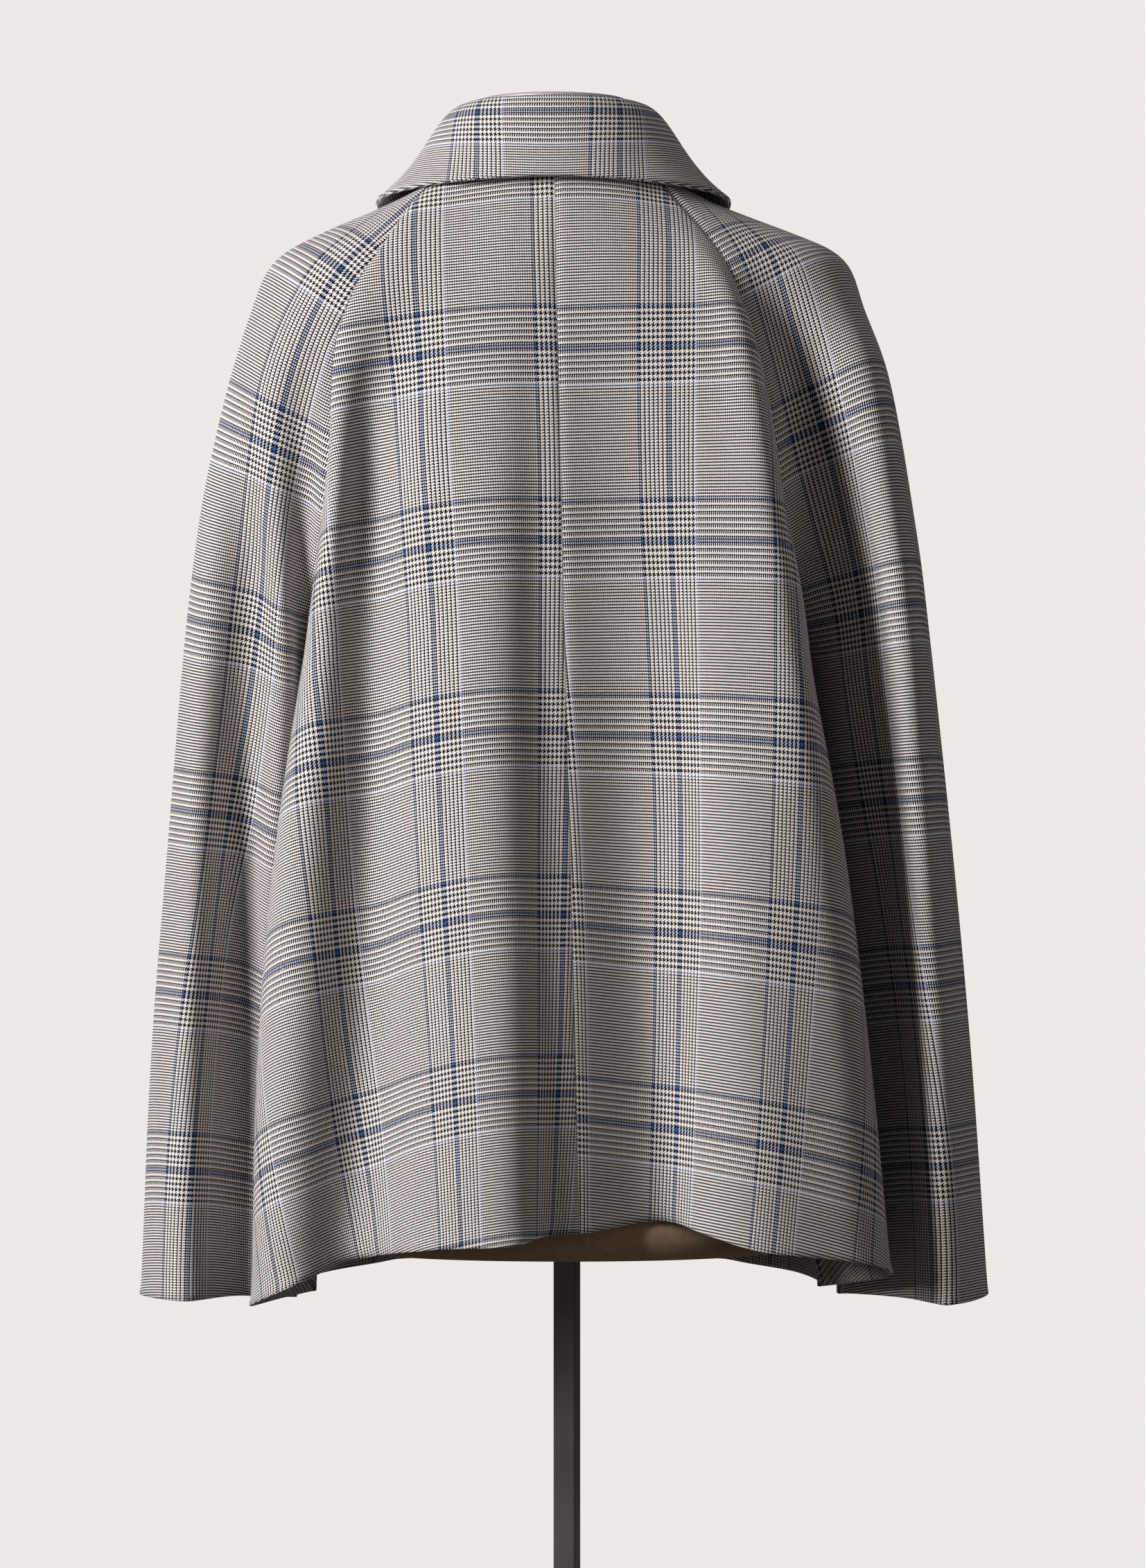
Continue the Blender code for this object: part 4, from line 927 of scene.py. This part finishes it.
def check_group():
    """Glen check in a two-and-two twill, from the flat cut's coordinates, with painted shade at the threads'
    edges.
    """
    tree = bpy.data.node_groups.new("glen_check", "ShaderNodeTree")
    tree.interface.new_socket("Cloth", in_out="INPUT", socket_type="NodeSocketVector")
    tree.interface.new_socket("Color", in_out="OUTPUT", socket_type="NodeSocketColor")
    tree.interface.new_socket("Height", in_out="OUTPUT", socket_type="NodeSocketFloat")
    entry = tree.nodes.new("NodeGroupInput")
    leave = tree.nodes.new("NodeGroupOutput")
    vectors = "ShaderNodeVectorMath"
    fuzz = speckle(tree, entry.outputs["Cloth"], FUZZ_SCALE, detail=1.0, output="Color")
    shift = calc(tree, "SUBTRACT", fuzz, (0.5, 0.5, 0.5), kind=vectors)
    scaled = calc(tree, "MULTIPLY", shift, (FUZZ_REACH * MM,) * 3, kind=vectors)
    apart = split(tree, calc(tree, "ADD", entry.outputs["Cloth"], scaled, kind=vectors))
    end, *end_masks = threads(tree, apart["X"], WARP_REPEAT, WARP_BAND)
    pick, *pick_masks = threads(tree, apart["Y"], WEFT_REPEAT, WEFT_BAND)
    warp = yarn_colour(tree, *end_masks)
    weft = yarn_colour(tree, *pick_masks)
    place = calc(tree, "ADD", calc(tree, "FLOOR", end), calc(tree, "FLOOR", pick))
    warp_up = calc(tree, "LESS_THAN", calc(tree, "FLOORED_MODULO", place, 2 * TWILL), TWILL)
    colour = blend(tree, warp_up, weft, warp)
    heights = []
    for thread in (end, pick):
        offset = calc(tree, "MULTIPLY_ADD", calc(tree, "FRACT", thread), 2.0, -1.0)
        heights.append(calc(tree, "SUBTRACT", 1.0, calc(tree, "MULTIPLY", offset, offset)))
    of_warp = calc(tree, "MULTIPLY", heights[0], warp_up)
    of_weft = calc(tree, "MULTIPLY", heights[1], calc(tree, "SUBTRACT", 1.0, warp_up))
    height = calc(tree, "ADD", of_warp, of_weft)
    # Painted shade and highlight: each thread's colour is darkened towards its edges, where it rounds away,
    # and lightened on its crown.
    colour = blend(tree, 1.0, colour, spread(tree, height, 0.86, 1.08), "MULTIPLY")
    tree.links.new(colour, leave.inputs["Color"])
    tree.links.new(height, leave.inputs["Height"])
    return tree


def new_material(name, settings):
    """A material with settings on its Principled shader, and its tree."""
    made = bpy.data.materials.new(name)
    made.use_nodes = True
    shader = made.node_tree.nodes["Principled BSDF"]
    for label, value in settings.items():
        shader.inputs[label].default_value = value
    return made, made.node_tree, shader


def flat_cut(tree):
    """The flat cut's coordinates, in metres."""
    node = tree.nodes.new("ShaderNodeUVMap")
    node.uv_map = "cloth"
    return node.outputs["UV"]


def bump(tree, shader, height, strength, distance):
    """Relief from a height socket."""
    node = tree.nodes.new("ShaderNodeBump")
    node.inputs["Strength"].default_value = strength
    node.inputs["Distance"].default_value = distance
    tree.links.new(height, node.inputs["Height"])
    tree.links.new(node.outputs["Normal"], shader.inputs["Normal"])


def wool_material():
    """Glen check with a low nap and fibres that catch the light at grazing angles."""
    settings = {"Roughness": 0.9, "Specular IOR Level": 0.15, "Sheen Weight": 0.12, "Sheen Roughness": 0.4}
    made, tree, shader = new_material("wool_glen_check", settings)
    group = tree.nodes.new("ShaderNodeGroup")
    group.node_tree = check_group()
    cut = flat_cut(tree)
    tree.links.new(cut, group.inputs["Cloth"])
    nap = speckle(tree, cut, scale=60.0, detail=4.0)
    paint_with(tree, shader, group.outputs["Color"], spread(tree, nap, 0.94, 1.06))
    bump(tree, shader, group.outputs["Height"], 0.5, 0.12 * MM)
    return made


def linen_material():
    """Plain weave with slubs in its yarn, and painted light and shade on the weave's relief."""
    made, tree, shader = new_material("form_linen_cloth", {"Roughness": 0.92, "Specular IOR Level": 0.2})
    cut = flat_cut(tree)
    apart = split(tree, cut)
    pace = 2 * math.pi / (LINEN_PITCH * MM)
    across, down = (calc(tree, "SINE", calc(tree, "MULTIPLY", apart[axis], pace)) for axis in ("X", "Y"))
    weave = calc(tree, "MULTIPLY", across, down)
    slub = speckle(tree, cut, scale=240.0, detail=3.0)
    # Painted light and shade: the weave's crowns are up to a tenth lighter and its hollows up to a tenth
    # darker. The slubs are the yarn's own uneven tone.
    tone = calc(tree, "MULTIPLY_ADD", weave, 0.10, spread(tree, slub, 0.72, 1.22))
    paint_with(tree, shader, LINEN_YARN, tone)
    bump(tree, shader, weave, 0.5, 0.15 * MM)
    return made


def painted_material():
    """Black powder paint, a little uneven."""
    made, tree, shader = new_material("pole_black_paint", {})
    where = tree.nodes.new("ShaderNodeTexCoord").outputs["Object"]
    cloud = speckle(tree, where, scale=30.0, detail=4.0)
    paint_with(tree, shader, PAINT, spread(tree, cloud, 0.75, 1.25))
    tree.links.new(spread(tree, cloud, 0.32, 0.57), shader.inputs["Roughness"])
    grit = speckle(tree, where, scale=900.0)
    bump(tree, shader, grit, 0.25, 0.1 * MM)
    return made


def steel_material():
    """Steel brushed in circles round the form's axis."""
    made, tree, shader = new_material("cap_brushed_steel", {"Metallic": 0.6})
    where = tree.nodes.new("ShaderNodeTexCoord").outputs["Object"]
    apart = split(tree, where)
    x = calc(tree, "SUBTRACT", apart["X"], FORM_TOP_X * MM)
    y = calc(tree, "SUBTRACT", apart["Y"], NECK_Y * MM)
    squares = calc(tree, "ADD", calc(tree, "MULTIPLY", x, x), calc(tree, "MULTIPLY", y, y))
    rings = tree.nodes.new("ShaderNodeCombineXYZ")
    tree.links.new(calc(tree, "SQRT", squares), rings.inputs[0])
    tree.links.new(apart["Z"], rings.inputs[1])
    brush = speckle(tree, rings.outputs[0], scale=2500.0, detail=3.0)
    paint_with(tree, shader, STEEL_TINT, spread(tree, brush, 0.85, 1.1))
    tree.links.new(spread(tree, brush, 0.5, 0.65), shader.inputs["Roughness"])
    bump(tree, shader, brush, 0.15, 0.02 * MM)
    return made


def horn_material():
    """Dark polished horn, for the buttons."""
    made, tree, shader = new_material("button_dark", {})
    where = tree.nodes.new("ShaderNodeTexCoord").outputs["Object"]
    cloud = speckle(tree, where, scale=160.0, detail=3.0)
    tree.links.new(blend(tree, cloud, BUTTON_HORN, BUTTON_CLOUD), shader.inputs["Base Color"])
    tree.links.new(spread(tree, cloud, 0.2, 0.4), shader.inputs["Roughness"])
    return made


def floor_material():
    """As pale as the backdrop, and matt."""
    settings = {"Base Color": (*BACKDROP, 1.0), "Roughness": 0.8, "Specular IOR Level": 0.1}
    return new_material("studio_floor", settings)[0]


def add_light(name, place, aim, size, watts):
    """A rectangular soft light."""
    data = bpy.data.lights.new(name, "AREA")
    data.shape = "RECTANGLE"
    data.size, data.size_y = size
    data.energy = watts
    lamp = bpy.data.objects.new(name, data)
    lamp.location = place
    lamp.rotation_euler = (Vector(aim) - Vector(place)).to_track_quat("-Z", "Y").to_euler()
    bpy.context.scene.collection.objects.link(lamp)


def build_studio():
    """Camera, floor, lights and the pale surround."""
    scene = bpy.context.scene
    data = bpy.data.cameras.new("camera")
    data.sensor_fit = "VERTICAL"
    data.sensor_height = CAMERA_SENSOR
    data.lens = CAMERA_LENS
    camera = bpy.data.objects.new("camera", data)
    camera.location = CAMERA_PLACE
    camera.rotation_euler = (math.pi / 2, 0, 0)
    scene.collection.objects.link(camera)
    scene.camera = camera
    scene.view_settings.view_transform = "Standard"
    bm = bmesh.new()
    bmesh.ops.create_circle(bm, cap_ends=True, segments=FLOOR_SIDES, radius=FLOOR_RADIUS)
    mesh = bpy.data.meshes.new("floor")
    bm.to_mesh(mesh)
    bm.free()
    mesh.materials.append(floor_material())
    floor = bpy.data.objects.new("floor", mesh)
    scene.collection.objects.link(floor)
    floor.visible_diffuse = False  # its light would lift the folds' dark sides
    for light in LIGHTS:
        add_light(*light)
    world = bpy.data.worlds.new("surround")
    scene.world = world
    world.use_nodes = True
    tree = world.node_tree
    seen = tree.nodes["Background"]
    seen.inputs["Color"].default_value = (*BACKDROP, 1.0)
    seen.inputs["Strength"].default_value = 1.0
    fill = tree.nodes.new("ShaderNodeBackground")
    fill.inputs["Color"].default_value = (*FILL_TINT, 1.0)
    fill.inputs["Strength"].default_value = FILL_STRENGTH
    path = tree.nodes.new("ShaderNodeLightPath")
    mix = tree.nodes.new("ShaderNodeMixShader")
    tree.links.new(path.outputs["Is Camera Ray"], mix.inputs[0])
    tree.links.new(fill.outputs[0], mix.inputs[1])
    tree.links.new(seen.outputs[0], mix.inputs[2])
    tree.links.new(mix.outputs[0], tree.nodes["World Output"].inputs["Surface"])


def finish_nodes():
    """Finishes for the solids that stay."""
    paint = painted_material()
    steel = steel_material()
    horn = horn_material()
    for node, finish in (("pole", paint), ("base_plate", paint), ("neck_cap", steel)):
        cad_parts[node].material_slots[0].material = finish
    for index in range(1, 5):
        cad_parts[f"button_{index}"].material_slots[0].material = horn


wool = wool_material()
build_studio()
build_body_and_sleeves(wool)
build_collar(wool)
build_form(linen_material())
finish_nodes()
